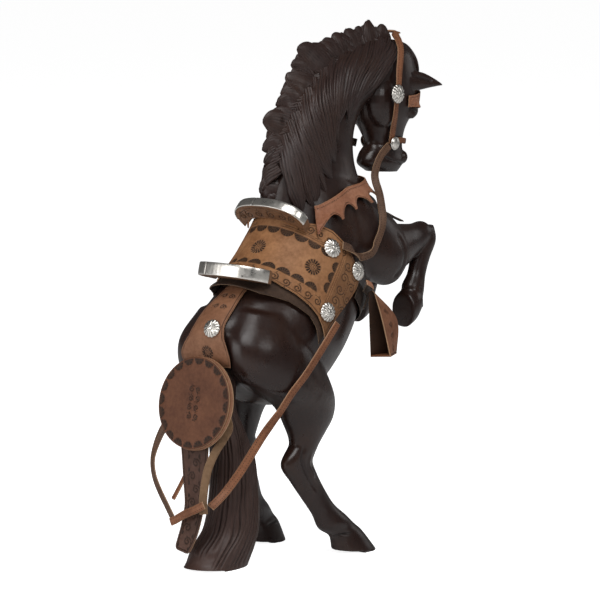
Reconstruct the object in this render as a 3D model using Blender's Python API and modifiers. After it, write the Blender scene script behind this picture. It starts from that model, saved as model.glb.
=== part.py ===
"""A carved wooden horse that rears on its hind hooves and its tail, in tooled leather tack.

Standalone Blender 4.5 script, in metres, +Z up. The horse faces -Y and its right side is -X.
Places are written as (forward, right, up) in design units, one unit being a thousandth of a
metre on a horse of the height below, so the carving keeps its proportions at any height.
"""

import math
from itertools import product

import bmesh
import bpy
import numpy as np
from mathutils import Vector
from mathutils.bvhtree import BVHTree

# Driving dimensions, in metres.
HORSE_HEIGHT = 0.366
LEATHER = 0.0014
STRAP_WIDTH = 0.0056
GAP = 0.0003
CONCHO_RADIUS = 0.0068
CONCHO_RISE = 0.0030
CONCHO_FLUTES = 10
DISC_RADIUS = 0.0322
POMMEL_THICKNESS = 0.0070
CANTLE_THICKNESS = 0.0090
TRIM_THICKNESS = 0.0008
BODY_VOXEL = 0.0013
BODY_TRIANGLES = 4560

# The height the places below are written for, and one design unit in metres.
DESIGN_HEIGHT = 366.0
UNIT = HORSE_HEIGHT / DESIGN_HEIGHT
SECTION_SIDES = 28
HOCK_HEIGHT = 72.0
LEFT_HOOF_SET_BACK = 15.0
LEFT_LEG_TRIM = 13.0
SKIRT_LIFT = 2.9
BOARD_ROUNDNESS = 2.4
COLLAR_SCALLOPS = 10
COLLAR_REACH = 143.6
STEPS_PER_STATION = 5

# The line through the trunk that the tack is measured round: a place on it and its tilt.
AXIS_AT = (90.0, 194.0)
AXIS_TILT = math.radians(51.7)

WOOD = ("stained_wood", (0.030, 0.019, 0.016, 1.0), 0.35, 0.0)
SADDLE_LEATHER = ("saddle_leather", (0.32, 0.18, 0.09, 1.0), 0.6, 0.0)
STRAP_LEATHER = ("strap_leather", (0.26, 0.12, 0.06, 1.0), 0.6, 0.0)
PALE_LEATHER = ("collar_leather", (0.42, 0.22, 0.14, 1.0), 0.6, 0.0)
DARK_LEATHER = ("dark_leather", (0.07, 0.045, 0.03, 1.0), 0.75, 0.0)
SILVER = ("silver_metal", (0.75, 0.74, 0.72, 1.0), 0.25, 1.0)

# Each station of a loft: back (forward, up), front (forward, up), right, half width, squareness.
TORSO = (
    ((-5, 142), (31, 110), 0, 20, 1.0),
    ((-9, 167), (60, 106), 0, 33, 1.0),
    ((9, 184), (89, 114), 0, 40, 1.0),
    ((25, 195), (109.5, 130.5), 0, 41.5, 1.0),
    ((41, 208), (123, 147), 0, 41, 1.0),
    ((53, 221), (134, 165), 0, 39, 1.0),
    ((62, 235), (150, 184), 0, 35, 1.0),
    ((67, 248), (165, 198), 0, 32, 1.0),
    ((73, 262), (174, 218), 0, 27, 1.0),
    ((80, 273), (166, 240), 0, 20, 1.0),
)
NECK = (
    ((60, 243), (171, 220), 0, 25, 1.0),
    ((67, 266), (158, 243), 0, 19.5, 1.0),
    ((74, 285), (146, 262), 0, 16.0, 1.0),
    ((86, 304), (142, 279), 0, 14.5, 1.0),
    ((102, 323), (144, 294), 0, 14, 1.0),
    ((125, 338), (152, 306), 0, 14, 1.0),
    ((152, 344), (162, 310), 0, 14.5, 1.0),
    ((176, 351), (172, 310), 0, 14.5, 1.0),
    ((198, 345), (186, 308), 0, 12.5, 1.0),
)
HEAD = (
    ((172, 349), (196, 352), 0, 8, 1.0),
    ((161, 338), (208, 345), 0, 13.5, 1.0),
    ((153, 324), (213, 329), 0, 16.5, 0.95),
    ((151, 311), (212, 313), 0, 17, 0.9),
    ((153, 300), (208, 302), 0, 15.5, 0.9),
    ((160, 290), (201, 291), 0, 12, 0.9),
    ((164, 281), (199, 281), 0, 9.5, 0.9),
    ((158, 274), (199, 273), 0, 10.5, 0.9),
    ((156, 267), (200, 266), 0, 11.5, 0.95),
    ((165, 261), (194, 259), 0, 8.5, 1.0),
)
HIND_LEG = (
    ((8, 179), (64, 164), 14, 20, 1.0),
    ((-8, 156), (76, 141), 21, 22.5, 1.0),
    ((0, 131), (89, 114), 25, 21.5, 1.0),
    ((31, 112), (88, 98), 27, 15.5, 1.0),
    ((42, 95), (79, 87), 28, 11, 1.0),
    ((47, 81), (71, 78), 28, 8.5, 1.0),
    ((38, 68), (68, 69), 27, 7.5, 1.0),
    ((47, 55), (71, 60), 28, 6.8, 1.0),
    ((57, 42), (78, 48), 29.5, 5.8, 1.0),
    ((66, 30), (86, 36), 31.5, 6.2, 1.0),
    ((71, 20), (97, 27), 33, 7.8, 1.0),
    ((79, 15), (105, 20), 34, 7.5, 1.0),
    ((84, 11), (112, 14), 34.5, 9.5, 0.95),
    ((87, 2.4), (125, -1.6), 35.5, 13.5, 0.95),
)
SHOULDER = (
    ((98, 238), (134, 250), 15, 12, 1.0),
    ((106, 220), (158, 234), 19, 16, 1.0),
    ((114, 201), (176, 214), 22, 17, 1.0),
    ((127, 191), (174, 199), 24, 14, 1.0),
    ((149, 182), (164, 189), 26, 7.5, 1.0),
)
FOREARM = (
    ((152, 187), (156, 226), 22, 15, 1.0),
    ((172, 191), (176, 224), 21, 11.5, 1.0),
    ((187.5, 198), (189.5, 223), 20, 9, 1.0),
    ((199, 205), (200, 224), 20, 8, 1.0),
    ((209.5, 209), (206.5, 221), 20, 6, 1.0),
)
CANNON = (
    ((196.5, 217), (211.5, 221), 20, 6.5, 1.0),
    ((193.5, 207), (213.5, 210), 20, 7.8, 1.0),
    ((189.5, 196), (206.5, 197), 20.5, 6.4, 1.0),
    ((185.5, 187), (201.5, 185), 21, 5.8, 1.0),
    ((179.5, 179), (198.5, 175), 21.5, 7.2, 1.0),
    ((182, 172), (196.5, 168), 22, 6.4, 1.0),
    ((184, 166), (196.5, 162), 22, 6.8, 1.0),
)
FORE_HOOF = (
    ((188, 178), (194, 161), 22, 7.5, 1.0),
    ((183, 178), (186, 153), 22, 9.5, 0.95),
    ((176.5, 174), (177, 149), 22, 10.5, 0.95),
)
TAIL = (
    ((-4, 150), (24, 142), 0, 8, 1.0),
    ((-12, 132), (18, 127), 0, 9, 1.0),
    ((-9, 112), (16, 109), 0, 10.5, 1.0),
    ((-5, 97), (22.5, 95.5), 0, 12, 1.0),
    ((-2, 83), (29.5, 82), 0, 13.5, 1.0),
    ((-1, 70), (34.5, 70), 0, 14.5, 1.0),
    ((-2, 46), (37, 46), 0, 16, 1.0),
    ((-7, 26), (37, 26), 0, 17.5, 1.0),
    ((-20, 13), (32, 12), 0, 18.5, 1.0),
    ((-27.5, 2.0), (24, -1.6), 0, 17.5, 0.95),
)

# Locks of the mane on the neck: (along, round in degrees, lift) from root to tip, then half width.
RIGHT_LOCKS = (
    (((0.95, 8, 3), (0.86, 45, 2.5), (0.76, 72, 2), (0.68, 92, 1.5), (0.61, 106, 0)), 6.5),
    (((0.86, 5, 4), (0.74, 50, 3), (0.64, 74, 2.5), (0.55, 90, 2), (0.47, 103, 0)), 7.0),
    (((0.76, -2, 4), (0.64, 34, 3.5), (0.53, 60, 3), (0.47, 73, 2), (0.41, 82, 0)), 7.5),
    (((0.67, -2, 4), (0.56, 34, 3.5), (0.46, 58, 3), (0.37, 72, 2), (0.31, 82, 0)), 7.5),
    (((0.58, -2, 4), (0.46, 30, 3.5), (0.37, 56, 3), (0.29, 74, 2), (0.24, 86, 0)), 8.0),
    (((0.48, -2, 4), (0.37, 28, 3.5), (0.29, 50, 3), (0.21, 66, 2), (0.15, 76, 0)), 8.0),
    (((0.38, -2, 4), (0.27, 26, 3), (0.18, 42, 3), (0.09, 50, 2), (0.02, 54, 0)), 8.0),
    (((0.29, -2, 4), (0.19, 16, 3), (0.11, 28, 3), (0.04, 34, 2), (-0.01, 38, 0)), 7.5),
)
LEFT_LOCKS = (
    (((0.96, 2, 2), (0.90, -28, 6), (0.82, -58, 5), (0.74, -86, 2), (0.68, -102, 0)), 7.5),
    (((0.86, 2, 3), (0.81, -24, 11), (0.73, -54, 9), (0.64, -80, 3), (0.56, -98, 0)), 8.5),
    (((0.75, 2, 3), (0.70, -24, 14), (0.61, -54, 12), (0.52, -76, 3), (0.44, -92, 0)), 9.0),
    (((0.65, 2, 3), (0.60, -24, 15), (0.51, -54, 12), (0.42, -76, 3), (0.34, -90, 0)), 9.0),
    (((0.55, 2, 3), (0.50, -24, 13), (0.42, -54, 11), (0.33, -76, 3), (0.26, -88, 0)), 9.0),
    (((0.45, 2, 3), (0.40, -22, 10), (0.33, -50, 9), (0.25, -70, 3), (0.18, -82, 0)), 9.0),
    (((0.35, 2, 3), (0.30, -20, 8), (0.23, -44, 6), (0.15, -60, 3), (0.08, -70, 0)), 9.0),
    (((0.25, 2, 3), (0.20, -18, 6), (0.14, -38, 5), (0.07, -50, 3), (0.02, -58, 0)), 8.5),
    (((0.16, 2, 3), (0.11, -16, 5), (0.06, -34, 4), (0.01, -46, 3), (-0.03, -54, 0)), 7.5),
)
# Tufts that stand off the crest: root along the neck, tip (forward, up), half width.
CREST = (
    (0.93, (181.0, 357.5), 5.0),
    (0.90, (176.0, 362.5), 6.5),
    (0.85, (167.5, 367.5), 6.5),
    (0.80, (156.0, 363.5), 7.0),
    (0.75, (144.5, 362.0), 7.0),
    (0.70, (132.0, 360.0), 7.0),
    (0.665, (122.0, 356.0), 7.0),
    (0.63, (109.0, 353.0), 7.0),
    (0.60, (95.5, 351.5), 7.5),
    (0.55, (90.0, 341.0), 7.5),
    (0.50, (84.5, 333.0), 7.5),
    (0.45, (80.5, 322.0), 7.5),
    (0.40, (76.5, 314.0), 7.5),
    (0.335, (62.0, 303.0), 7.5),
    (0.29, (65.5, 293.0), 7.5),
    (0.24, (61.5, 284.0), 7.5),
    (0.18, (63.5, 272.0), 7.5),
    (0.12, (62.0, 262.0), 7.5),
    (0.07, (57.5, 255.5), 7.5),
    (0.03, (61.0, 249.5), 7.0),
)


def material(finish):
    """The plain material of a finish, made once."""
    name, colour, roughness, metallic = finish
    found = bpy.data.materials.get(name)
    if found:
        return found
    made = bpy.data.materials.new(name)
    made.use_nodes = True
    shader = made.node_tree.nodes["Principled BSDF"]
    shader.inputs["Base Color"].default_value = colour
    shader.inputs["Roughness"].default_value = roughness
    shader.inputs["Metallic"].default_value = metallic
    made.diffuse_color = colour
    return made


def unit(vector):
    """A vector brought to length one."""
    vector = np.array(vector, float)
    return vector / np.linalg.norm(vector)


def left_leg(stations):
    """The stations of the left hind leg, slimmer in front under the haunch than the right one."""
    made = []
    for back, (forward, up), *rest in stations:
        trim = LEFT_LEG_TRIM * max(0.0, 1 - abs(up - 98) / 24)
        made.append((back, (forward - trim, up), *rest))
    return made


def named(*names):
    """The objects of some names."""
    return [bpy.data.objects[name] for name in names]


def place(point):
    """The world point of a place in design units."""
    forward, right, up = point
    return Vector((-right, -forward, up)) * UNIT


def design(point):
    """The place in design units of a world point."""
    return np.array((-point[1], -point[0], point[2])) / UNIT


def link(name, mesh, finish=None):
    """A new object of a built mesh, with outward faces."""
    bmesh.ops.recalc_face_normals(mesh, faces=mesh.faces)
    data = bpy.data.meshes.new(name)
    mesh.to_mesh(data)
    mesh.free()
    obj = bpy.data.objects.new(name, data)
    bpy.data.collections["rearing_horse"].objects.link(obj)
    if finish:
        obj.data.materials.append(material(finish))
    return obj


def smooth_rows(rows, steps):
    """Rows of numbers with smooth in-between rows added."""
    rows = np.asarray(rows, float)
    padded = np.vstack([2 * rows[0] - rows[1], rows, 2 * rows[-1] - rows[-2]])
    out = []
    for i in range(len(rows) - 1):
        a, b, c, d = padded[i : i + 4]
        for t in np.arange(steps) / steps:
            square = (2 * a - 5 * b + 4 * c - d) * t * t
            out.append(0.5 * (2 * b + (c - a) * t + square + (3 * b - a - 3 * c + d) * t**3))
    out.append(rows[-1])
    return np.array(out)


def tube(name, rings, finish=None):
    """A closed body through rings of places."""
    mesh = bmesh.new()
    made = [[mesh.verts.new(place(point)) for point in ring] for ring in rings]
    count = len(made[0])
    for first, second in zip(made, made[1:]):
        for i in range(count):
            j = (i + 1) % count
            mesh.faces.new((first[i], first[j], second[j], second[i]))
    mesh.faces.new(list(reversed(made[0])))
    mesh.faces.new(made[-1])
    return link(name, mesh, finish)


def limb(name, stations, side=1.0, set_back=0.0):
    """A loft along a limb, mirrored by side. The foot of a limb set back stands that much further back."""
    rows = smooth_rows([[*b, *f, r, w, q] for b, f, r, w, q in stations], STEPS_PER_STATION)
    turns = np.arange(SECTION_SIDES) * 2 * math.pi / SECTION_SIDES
    rings = []
    for bf, bu, ff, fu, right, width, power in rows:
        c = np.sign(np.cos(turns)) * np.abs(np.cos(turns)) ** power
        s = np.sign(np.sin(turns)) * np.abs(np.sin(turns)) ** power
        forward = (bf + ff) / 2 + (ff - bf) / 2 * c
        up = (bu + fu) / 2 + (fu - bu) / 2 * c
        forward = forward - set_back * np.clip(1 - up / HOCK_HEIGHT, 0, 1) ** 2
        rings.append(np.stack([forward, side * (right + width * s), up], 1))
    return tube(name, rings)


def lock(name, path, widths, depths, faces):
    """A lock of hair along a path of places, thin towards its faces."""
    rows = smooth_rows([[*p, w, d, *n] for p, w, d, n in zip(path, widths, depths, faces)], STEPS_PER_STATION)
    centre = rows[:, :3]
    along = np.gradient(centre, axis=0)
    along /= np.linalg.norm(along, axis=1)[:, None]
    out = rows[:, 5:8] - along * np.sum(along * rows[:, 5:8], axis=1)[:, None]
    out /= np.linalg.norm(out, axis=1)[:, None]
    across = np.cross(along, out)
    turns = np.arange(16) * 2 * math.pi / 16
    rings = []
    for i in range(len(rows)):
        wide = across[i] * rows[i, 3] * np.cos(turns)[:, None]
        deep = out[i] * rows[i, 4] * np.sin(turns)[:, None]
        rings.append(centre[i] + wide + deep)
    return tube(name, rings)


def neck_place(along, degrees, lift):
    """A place on the neck and the way it faces: along from withers to poll, round from the crest."""
    rows = [[*b, *f, w] for b, f, r, w, q in NECK]
    at = min(max(along, -0.05), 1.0) * (len(rows) - 1)
    i = int(min(max(math.floor(at), 0), len(rows) - 2))
    bf, bu, ff, fu, width = np.array(rows[i]) + (at - i) * (np.array(rows[i + 1]) - np.array(rows[i]))
    centre = np.array(((bf + ff) / 2, 0.0, (bu + fu) / 2))
    back = np.array((bf - ff, 0.0, bu - fu)) / 2
    turn = math.radians(degrees)
    side = np.array((0.0, 1.0, 0.0))
    face = math.cos(turn) * back / np.linalg.norm(back) ** 2 + math.sin(turn) * side / width
    face /= np.linalg.norm(face)
    return centre + math.cos(turn) * back + math.sin(turn) * side * width + face * lift, face


def mane():
    """Every lock of the mane, as separate bodies."""
    made = []
    for path, width in RIGHT_LOCKS + LEFT_LOCKS:
        spots = [neck_place(*p) for p in path]
        widths = [width * 0.8, width, width, width * 0.75, width * 0.15]
        depths = [3.2, 3.6, 3.2, 2.4, 0.6]
        made.append(lock("lock", [s[0] for s in spots], widths, depths, [s[1] for s in spots]))
    for along, (forward, up), width in CREST:
        root, face = neck_place(along, -6, 0)
        root = root - face * 8
        tip = np.array((forward, -2 - 8 * min(max((0.9 - along) / 0.5, 0), 1), up))
        path = [root, root * 0.6 + tip * 0.4, root * 0.28 + tip * 0.72 + (0.0, 0.0, 1.2), tip]
        widths = [width, width, width * 0.95, width * 0.4]
        made.append(lock("tuft", path, widths, [6.0, 6.0, 5.0, 1.5], [(0.0, -1.0, 0.0)] * 4))
    return made


def ear(side):
    """One ear, laid forward and out."""
    path = [(180, 8 * side, 323), (191, 11 * side, 324), (205, 15 * side, 324), (215, 18 * side, 322.5)]
    path.append((223, 21 * side, 320.5))
    return lock("ear", path, [6.0, 8.0, 6.5, 3.6, 0.6], [5.0, 5.0, 3.6, 2.2, 0.5], [(0.3, side, 0.1)] * 5)


def blob(centre, radii):
    """An ellipsoid for a swelling of the carving."""
    mesh = bmesh.new()
    bmesh.ops.create_uvsphere(mesh, u_segments=16, v_segments=10, radius=1.0)
    for vert in mesh.verts:
        spot = np.array(centre) + np.array((vert.co.x, vert.co.y, vert.co.z)) * radii
        vert.co = place(spot)
    return link("swelling", mesh)


def join(objects, name):
    """One object of the meshes of several."""
    mesh = bmesh.new()
    for obj in objects:
        mesh.from_mesh(obj.data)
        bpy.data.objects.remove(obj)
    return link(name, mesh)


def applied(obj):
    """The object with its modifiers made part of its mesh."""
    graph = bpy.context.evaluated_depsgraph_get()
    data = bpy.data.meshes.new_from_object(obj.evaluated_get(graph))
    obj.modifiers.clear()
    obj.data = data
    return obj


def fused(objects, name, voxel, smoothing):
    """One skin round several overlapping bodies."""
    obj = join(objects, name)
    remesh = obj.modifiers.new("fuse", "REMESH")
    remesh.mode = "VOXEL"
    remesh.voxel_size = voxel
    smooth = obj.modifiers.new("blend", "SMOOTH")
    smooth.factor = 0.5
    smooth.iterations = smoothing
    return applied(obj)


def trunk_bodies():
    """The bodies that blend softly into one another."""
    made = [limb("torso", TORSO), limb("neck", NECK)]
    for side in (1, -1):
        leg = HIND_LEG if side > 0 else left_leg(HIND_LEG)
        made.append(limb("hind_leg", leg[:7], side))
        made.append(limb("shoulder", SHOULDER, side))
    return made


def crisp_bodies():
    """The bodies whose edges stay crisp."""
    made = [limb("head", HEAD), limb("tail", TAIL)]
    for side in (1, -1):
        made += [
            limb("hind_leg", HIND_LEG[5:], side, 0.0 if side > 0 else LEFT_HOOF_SET_BACK),
            limb("forearm", FOREARM, side),
            limb("cannon", CANNON, side),
            limb("fore_hoof", FORE_HOOF, side),
            ear(side),
            blob((197, 11.5 * side, 303), (8, 5, 6)),
            blob((170, 9 * side, 311), (17, 8.5, 19)),
        ]
    return made + mane()


def horse():
    """The carved horse, its mane and its tail, in one piece."""
    trunk = fused(trunk_bodies(), "trunk", BODY_VOXEL * UNIT * 1000, 14)
    body = fused([trunk] + crisp_bodies(), "horse", BODY_VOXEL * UNIT * 1000, 3)
    for vert in body.data.vertices:
        if vert.co.z < 0.8 * UNIT:
            vert.co.z = 0.0
    thin = body.modifiers.new("thin", "DECIMATE")
    thin.ratio = BODY_TRIANGLES / (2 * len(body.data.polygons))
    body = applied(body)
    for vert in body.data.vertices:
        if vert.co.z < 1.1 * UNIT:
            vert.co.z = 0.0
    body.data.materials.append(material(WOOD))
    return body


class Skin:
    """The outside of one or more bodies, asked for places on it."""

    def __init__(self, *bodies):
        points, faces = [], []
        for body in bodies:
            first = len(points)
            points += [vert.co.copy() for vert in body.data.vertices]
            faces += [[first + i for i in face.vertices] for face in body.data.polygons]
        self.tree = BVHTree.FromPolygons(points, faces)

    def toward(self, start, target):
        """The first place on the skin from start towards target, with its face."""
        a, b = place(start), place(target)
        spot, face, _, _ = self.tree.ray_cast(a, (b - a).normalized())
        if spot is None:
            return np.array(target, float), unit(np.subtract(start, target))
        return design(spot), design(face) * UNIT / np.linalg.norm(design(face) * UNIT)

    def depth(self, start, way):
        """How far the skin is from start, looking one way."""
        origin = place(start)
        spot, _, _, far = self.tree.ray_cast(origin, (place(np.add(start, way)) - origin).normalized())
        return 1000.0 if spot is None else far / UNIT

    def nearest(self, point):
        """The nearest place on the skin, with its face."""
        spot, face, _, _ = self.tree.find_nearest(place(point))
        face = np.array((-face[1], -face[0], face[2]))
        return design(spot), face


def about_axis(along, degrees, reach):
    """A place round the line through the trunk."""
    turn = math.radians(degrees)
    tilt = np.array((math.cos(AXIS_TILT), 0.0, math.sin(AXIS_TILT)))
    back = np.array((-math.sin(AXIS_TILT), 0.0, math.cos(AXIS_TILT)))
    side = np.array((0.0, 1.0, 0.0))
    start = np.array((AXIS_AT[0], 0.0, AXIS_AT[1]))
    return start + tilt * along + (back * math.cos(turn) + side * math.sin(turn)) * reach


class Trunk:
    """How far the skin stands from the trunk line, closed over small hollows."""

    def __init__(self, skin):
        self.along = np.arange(-108.0, 33.0, 3.0)
        self.turn = np.arange(-180.0, 181.0, 6.0)
        reach = np.empty((len(self.along), len(self.turn)))
        for i, s in enumerate(self.along):
            for j, t in enumerate(self.turn):
                spot, _ = skin.toward(about_axis(s, t, 110.0), about_axis(s, t, 0.0))
                reach[i, j] = np.linalg.norm(spot - about_axis(s, t, 0.0))
        wide = reach.copy()
        for i in (-1, 0, 1):
            for j in (-1, 0, 1):
                wide = np.maximum(wide, np.roll(np.roll(reach, i, 0), j, 1))
        wide[0], wide[-1] = reach[0], reach[-1]
        self.reach = (wide * 2 + np.roll(wide, 1, 1) + np.roll(wide, -1, 1)) / 4

    def place(self, along, degrees, lift):
        """A place on the trunk, lifted off it."""
        i = min(max((along - self.along[0]) / 3.0, 0), len(self.along) - 1.001)
        j = min(max((degrees + 180.0) / 6.0, 0), len(self.turn) - 1.001)
        a, b = int(i), int(j)
        u, v = i - a, j - b
        low = self.reach[a, b] * (1 - v) + self.reach[a, b + 1] * v
        high = self.reach[a + 1, b] * (1 - v) + self.reach[a + 1, b + 1] * v
        return about_axis(along, degrees, low * (1 - u) + high * u + lift)


def sheet(name, inner, outer, finish):
    """A closed sheet between two grids of places of the same shape."""
    mesh = bmesh.new()
    a = [[mesh.verts.new(place(p)) for p in row] for row in inner]
    b = [[mesh.verts.new(place(p)) for p in row] for row in outer]
    rows, columns = len(a), len(a[0])
    for i in range(rows - 1):
        for j in range(columns - 1):
            mesh.faces.new((a[i][j], a[i + 1][j], a[i + 1][j + 1], a[i][j + 1]))
            mesh.faces.new((b[i][j], b[i][j + 1], b[i + 1][j + 1], b[i + 1][j]))
    for i in range(rows - 1):
        for j in (0, columns - 1):
            mesh.faces.new((a[i][j], b[i][j], b[i + 1][j], a[i + 1][j]))
    for j in range(columns - 1):
        for i in (0, rows - 1):
            mesh.faces.new((a[i][j], a[i][j + 1], b[i][j + 1], b[i][j]))
    return link(name, mesh, finish)


def cover(name, trunk, outline, rows, columns, lift, thickness, finish):
    """A sheet of leather laid round the trunk. The outline gives (along, degrees) from shares of 0 to 1."""
    grids = []
    for extra in (0.0, thickness):
        grid = []
        for u in np.linspace(0, 1, rows):
            line = []
            for v in np.linspace(0, 1, columns):
                along, degrees = outline(u, v)
                raised = lift(along, degrees) if callable(lift) else lift
                line.append(trunk.place(along, degrees, raised + extra))
            grid.append(line)
        grids.append(grid)
    return sheet(name, grids[0], grids[1], finish)


def blend(value, stops):
    """The value between stops of (at, value), joined by straight lines."""
    return float(np.interp(value, [s[0] for s in stops], [s[1] for s in stops]))


def strap(name, path, faces, finish, width=None, over=None, above=9.0, steps=2, clear=0.7):
    """A flat strap whose under side runs through a path of places, kept clear of the bodies it lies over."""
    thickness = LEATHER / UNIT
    wide = np.broadcast_to(STRAP_WIDTH / UNIT if width is None else width, len(path))
    rows = smooth_rows([[*p, *f, w] for p, f, w in zip(path, faces, wide)], steps)
    centre = rows[:, :3]
    along = np.gradient(centre, axis=0)
    along /= np.linalg.norm(along, axis=1)[:, None]
    out = rows[:, 3:6] - along * np.sum(along * rows[:, 3:6], axis=1)[:, None]
    out /= np.linalg.norm(out, axis=1)[:, None]
    across = np.cross(along, out) * rows[:, 6:7] / 2
    if over is not None:
        centre = centre + out * raised_clear(over, centre, out, across, above, clear)[:, None]
    top = centre + out * thickness
    rings = [(c - a, c + a, t + a, t - a) for c, t, a in zip(centre, top, across)]
    return tube(name, rings, finish)


def raised_clear(over, centre, out, across, above, clear):
    """How far each station of a strap is lifted so that its whole width clears what it lies over."""
    need = np.zeros(len(centre))
    for i, (middle, way, half) in enumerate(zip(centre, out, across)):
        ahead = centre[min(i + 1, len(centre) - 1)] - middle
        for step in (-0.5, 0.0, 0.5):
            for share in (-1.15, -0.6, 0.0, 0.6, 1.15):
                start = middle + half * share + ahead * step + way * above
                need[i] = max(need[i], above - over.depth(start, -way) + clear)
    need = np.clip(need, 0, above * 0.7)
    for repeat in range(2):
        held = np.concatenate([need[:1], need, need[-1:]])
        wide = np.maximum(np.maximum(held[:-2], held[1:-1]), held[2:])
        held = np.concatenate([wide[:1], wide, wide[-1:]])
        need = (held[:-2] + held[1:-1] + held[2:]) / 3
    return need


def seated(over, centre, face, radius, clear=0.5):
    """A place moved along its face until a round piece there clears what it stands on."""
    face = unit(face)
    side = unit(np.cross(face, (0.0, 0.0, 1.0) if abs(face[2]) < 0.9 else (1.0, 0.0, 0.0)))
    other = np.cross(face, side)
    need = -1000.0
    for share in (0.0, 0.3, 0.6, 0.85, 1.1):
        for turn in np.arange(24) * math.pi / 12:
            start = centre + (side * math.cos(turn) + other * math.sin(turn)) * radius * share + face * 12
            need = max(need, 12 - over.depth(start, -face))
    return centre + face * (need + clear)


def laid(skin, points, lift, close=6.0):
    """Places of a path brought to a lift over the skin where they are close to it, with their faces."""
    path, faces = [], []
    for point in points:
        spot, face = skin.nearest(point)
        if np.linalg.norm(spot - point) < close:
            path.append(spot + face * lift)
        else:
            path.append(np.array(point, float))
        faces.append(face)
    return path, faces


def concho(name, centre, face, radius=None):
    """A fluted silver dome with a scalloped rim, standing on a place."""
    radius = CONCHO_RADIUS / UNIT if radius is None else radius
    rise = CONCHO_RISE / CONCHO_RADIUS * radius
    face = np.array(face, float) / np.linalg.norm(face)
    side = np.cross(face, (0.0, 0.0, 1.0) if abs(face[2]) < 0.9 else (1.0, 0.0, 0.0))
    side /= np.linalg.norm(side)
    other = np.cross(face, side)
    centre = np.array(centre, float)
    turns = np.arange(CONCHO_FLUTES * 2) * math.pi / CONCHO_FLUTES
    rim = radius * (1 + 0.05 * np.cos(turns * CONCHO_FLUTES))
    rings = []
    for share, height in ((1.0, 0.0), (0.94, 0.45), (0.45, 1.0)):
        reach = rim * share
        ring = centre + side * (np.cos(turns) * reach)[:, None] + other * (np.sin(turns) * reach)[:, None]
        rings.append(ring + face * rise * height)
    return tube(name, rings, SILVER)


def saddle_outline(u, v):
    """The saddle leather: from its rear edge to its front edge, and round the back to both flaps."""
    turn = 2 * v - 1
    widest = blend(u, ((0, 87), (0.25, 92), (0.5, 97), (0.8, 103), (1, 103)))
    degrees = turn * widest
    rear = blend(abs(degrees), ((0, -34), (46, -35), (61, -36.5), (73, -39), (80, -43), (87, -49)))
    front = blend(abs(degrees), ((0, 15), (26, 16), (40, 21), (53, 22.5), (74, 20), (90, 14), (101, 10)))
    return rear + u * (front - rear), degrees


def skirt_outline(u, v):
    """The dark skirt under the saddle leather."""
    degrees = (2 * v - 1) * 88
    rear = blend(abs(degrees), ((0, -48), (24, -48), (34, -44.5), (44, -42), (66, -42), (76, -46), (88, -54)))
    front = blend(abs(degrees), ((0, 12), (40, 13), (75, 12), (88, 6)))
    return rear + u * (front - rear), degrees


def crupper_outline(u, v):
    """The leather on the rump, from under the skirt to the disc."""
    along = -36 - 66 * u
    widths = ((36, 8.5), (47, 8.5), (57, 9.5), (66, 11), (80, 12.2), (88, 15.5), (98, 24), (102, 26))
    half = blend(-along, widths)
    skew = blend(-along, ((36, 4), (80, 0), (102, -2)))
    return along, (2 * v - 1) * half + skew


def skirt_lift(along, degrees):
    """The skirt rises over the tongue of the crupper."""
    over = blend(along, ((-31, 1.0), (-18, 0.0)))
    near = blend(abs(degrees - 4), ((20, 1.0), (32, 0.0)))
    kick = blend(along, ((-47, 2.5), (-40, 0.5), (-36, 0.0)))
    return 0.5 + 2.0 * over * near + kick


def board(name, skin_of, centre, outward, across_depth, half_width, height, thickness, finish):
    """A half-round board that stands on the saddle, its foot cut to the leather under it."""
    centre, outward, deep = (np.array(x, float) for x in (centre, outward, across_depth))
    side = np.array((0.0, 1.0, 0.0))
    xs = np.sin(np.linspace(-math.pi / 2, math.pi / 2, 17)) * half_width
    tops = height * np.clip(1 - np.abs(xs / half_width) ** BOARD_ROUNDNESS, 0, 1) ** (1 / BOARD_ROUNDNESS)
    near_end = np.clip(np.abs(xs / half_width) - 0.85, 0, 1) / 0.15
    limits = -height * 0.8 * np.sqrt(np.clip(1 - near_end**2, 0, 1))
    feet = []
    for x, limit in zip(xs, limits):
        lows = []
        for share, aside in product(np.linspace(-0.6, 0.6, 11), (-1.2, 0.0, 1.2)):
            start = centre + side * (x + aside) + outward * (height + 20) + deep * thickness * share
            spot, _ = skin_of.toward(start, start - outward * 100)
            lows.append(np.dot(spot - centre, outward))
        feet.append(max(max(lows) + 0.9, limit))
    feet = np.maximum(feet, np.maximum(np.roll(feet, 1), np.roll(feet, -1)) - 2.0)
    tops = np.maximum(tops, feet + 1.6)
    line = [(x, f) for x, f in zip(xs, feet)] + [(x, t) for x, t in zip(xs[::-1], tops[::-1])]
    rings = [
        [centre + side * x + outward * y + deep * thickness * share for x, y in line] for share in (-0.5, 0.5)
    ]
    return tube(name, rings, finish), xs, feet, tops


def board_trim(name, centre, outward, across_depth, xs, feet, tops, thickness):
    """The silver strip round the edge of a board."""
    centre, outward, deep = (np.array(x, float) for x in (centre, outward, across_depth))
    side = np.array((0.0, 1.0, 0.0))
    line = [(xs[0], feet[0] + 0.6)] + list(zip(xs, tops)) + [(xs[-1], feet[-1] + 0.6)]
    line = np.array(line)
    step = np.gradient(line, axis=0)
    normal = np.stack([-step[:, 1], step[:, 0]], 1)
    normal /= np.linalg.norm(normal, axis=1)[:, None]
    gap, thick = GAP / UNIT, TRIM_THICKNESS / UNIT
    rings = []
    for (x, y), n in zip(line, normal):
        ring = []
        for away, share in ((gap, -0.5), (gap + thick, -0.5), (gap + thick, 0.5), (gap, 0.5)):
            at = np.array((x, y)) + n * away
            ring.append(centre + side * at[0] + outward * at[1] + deep * thickness * share)
        rings.append(ring)
    return tube(name, rings, SILVER)


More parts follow.
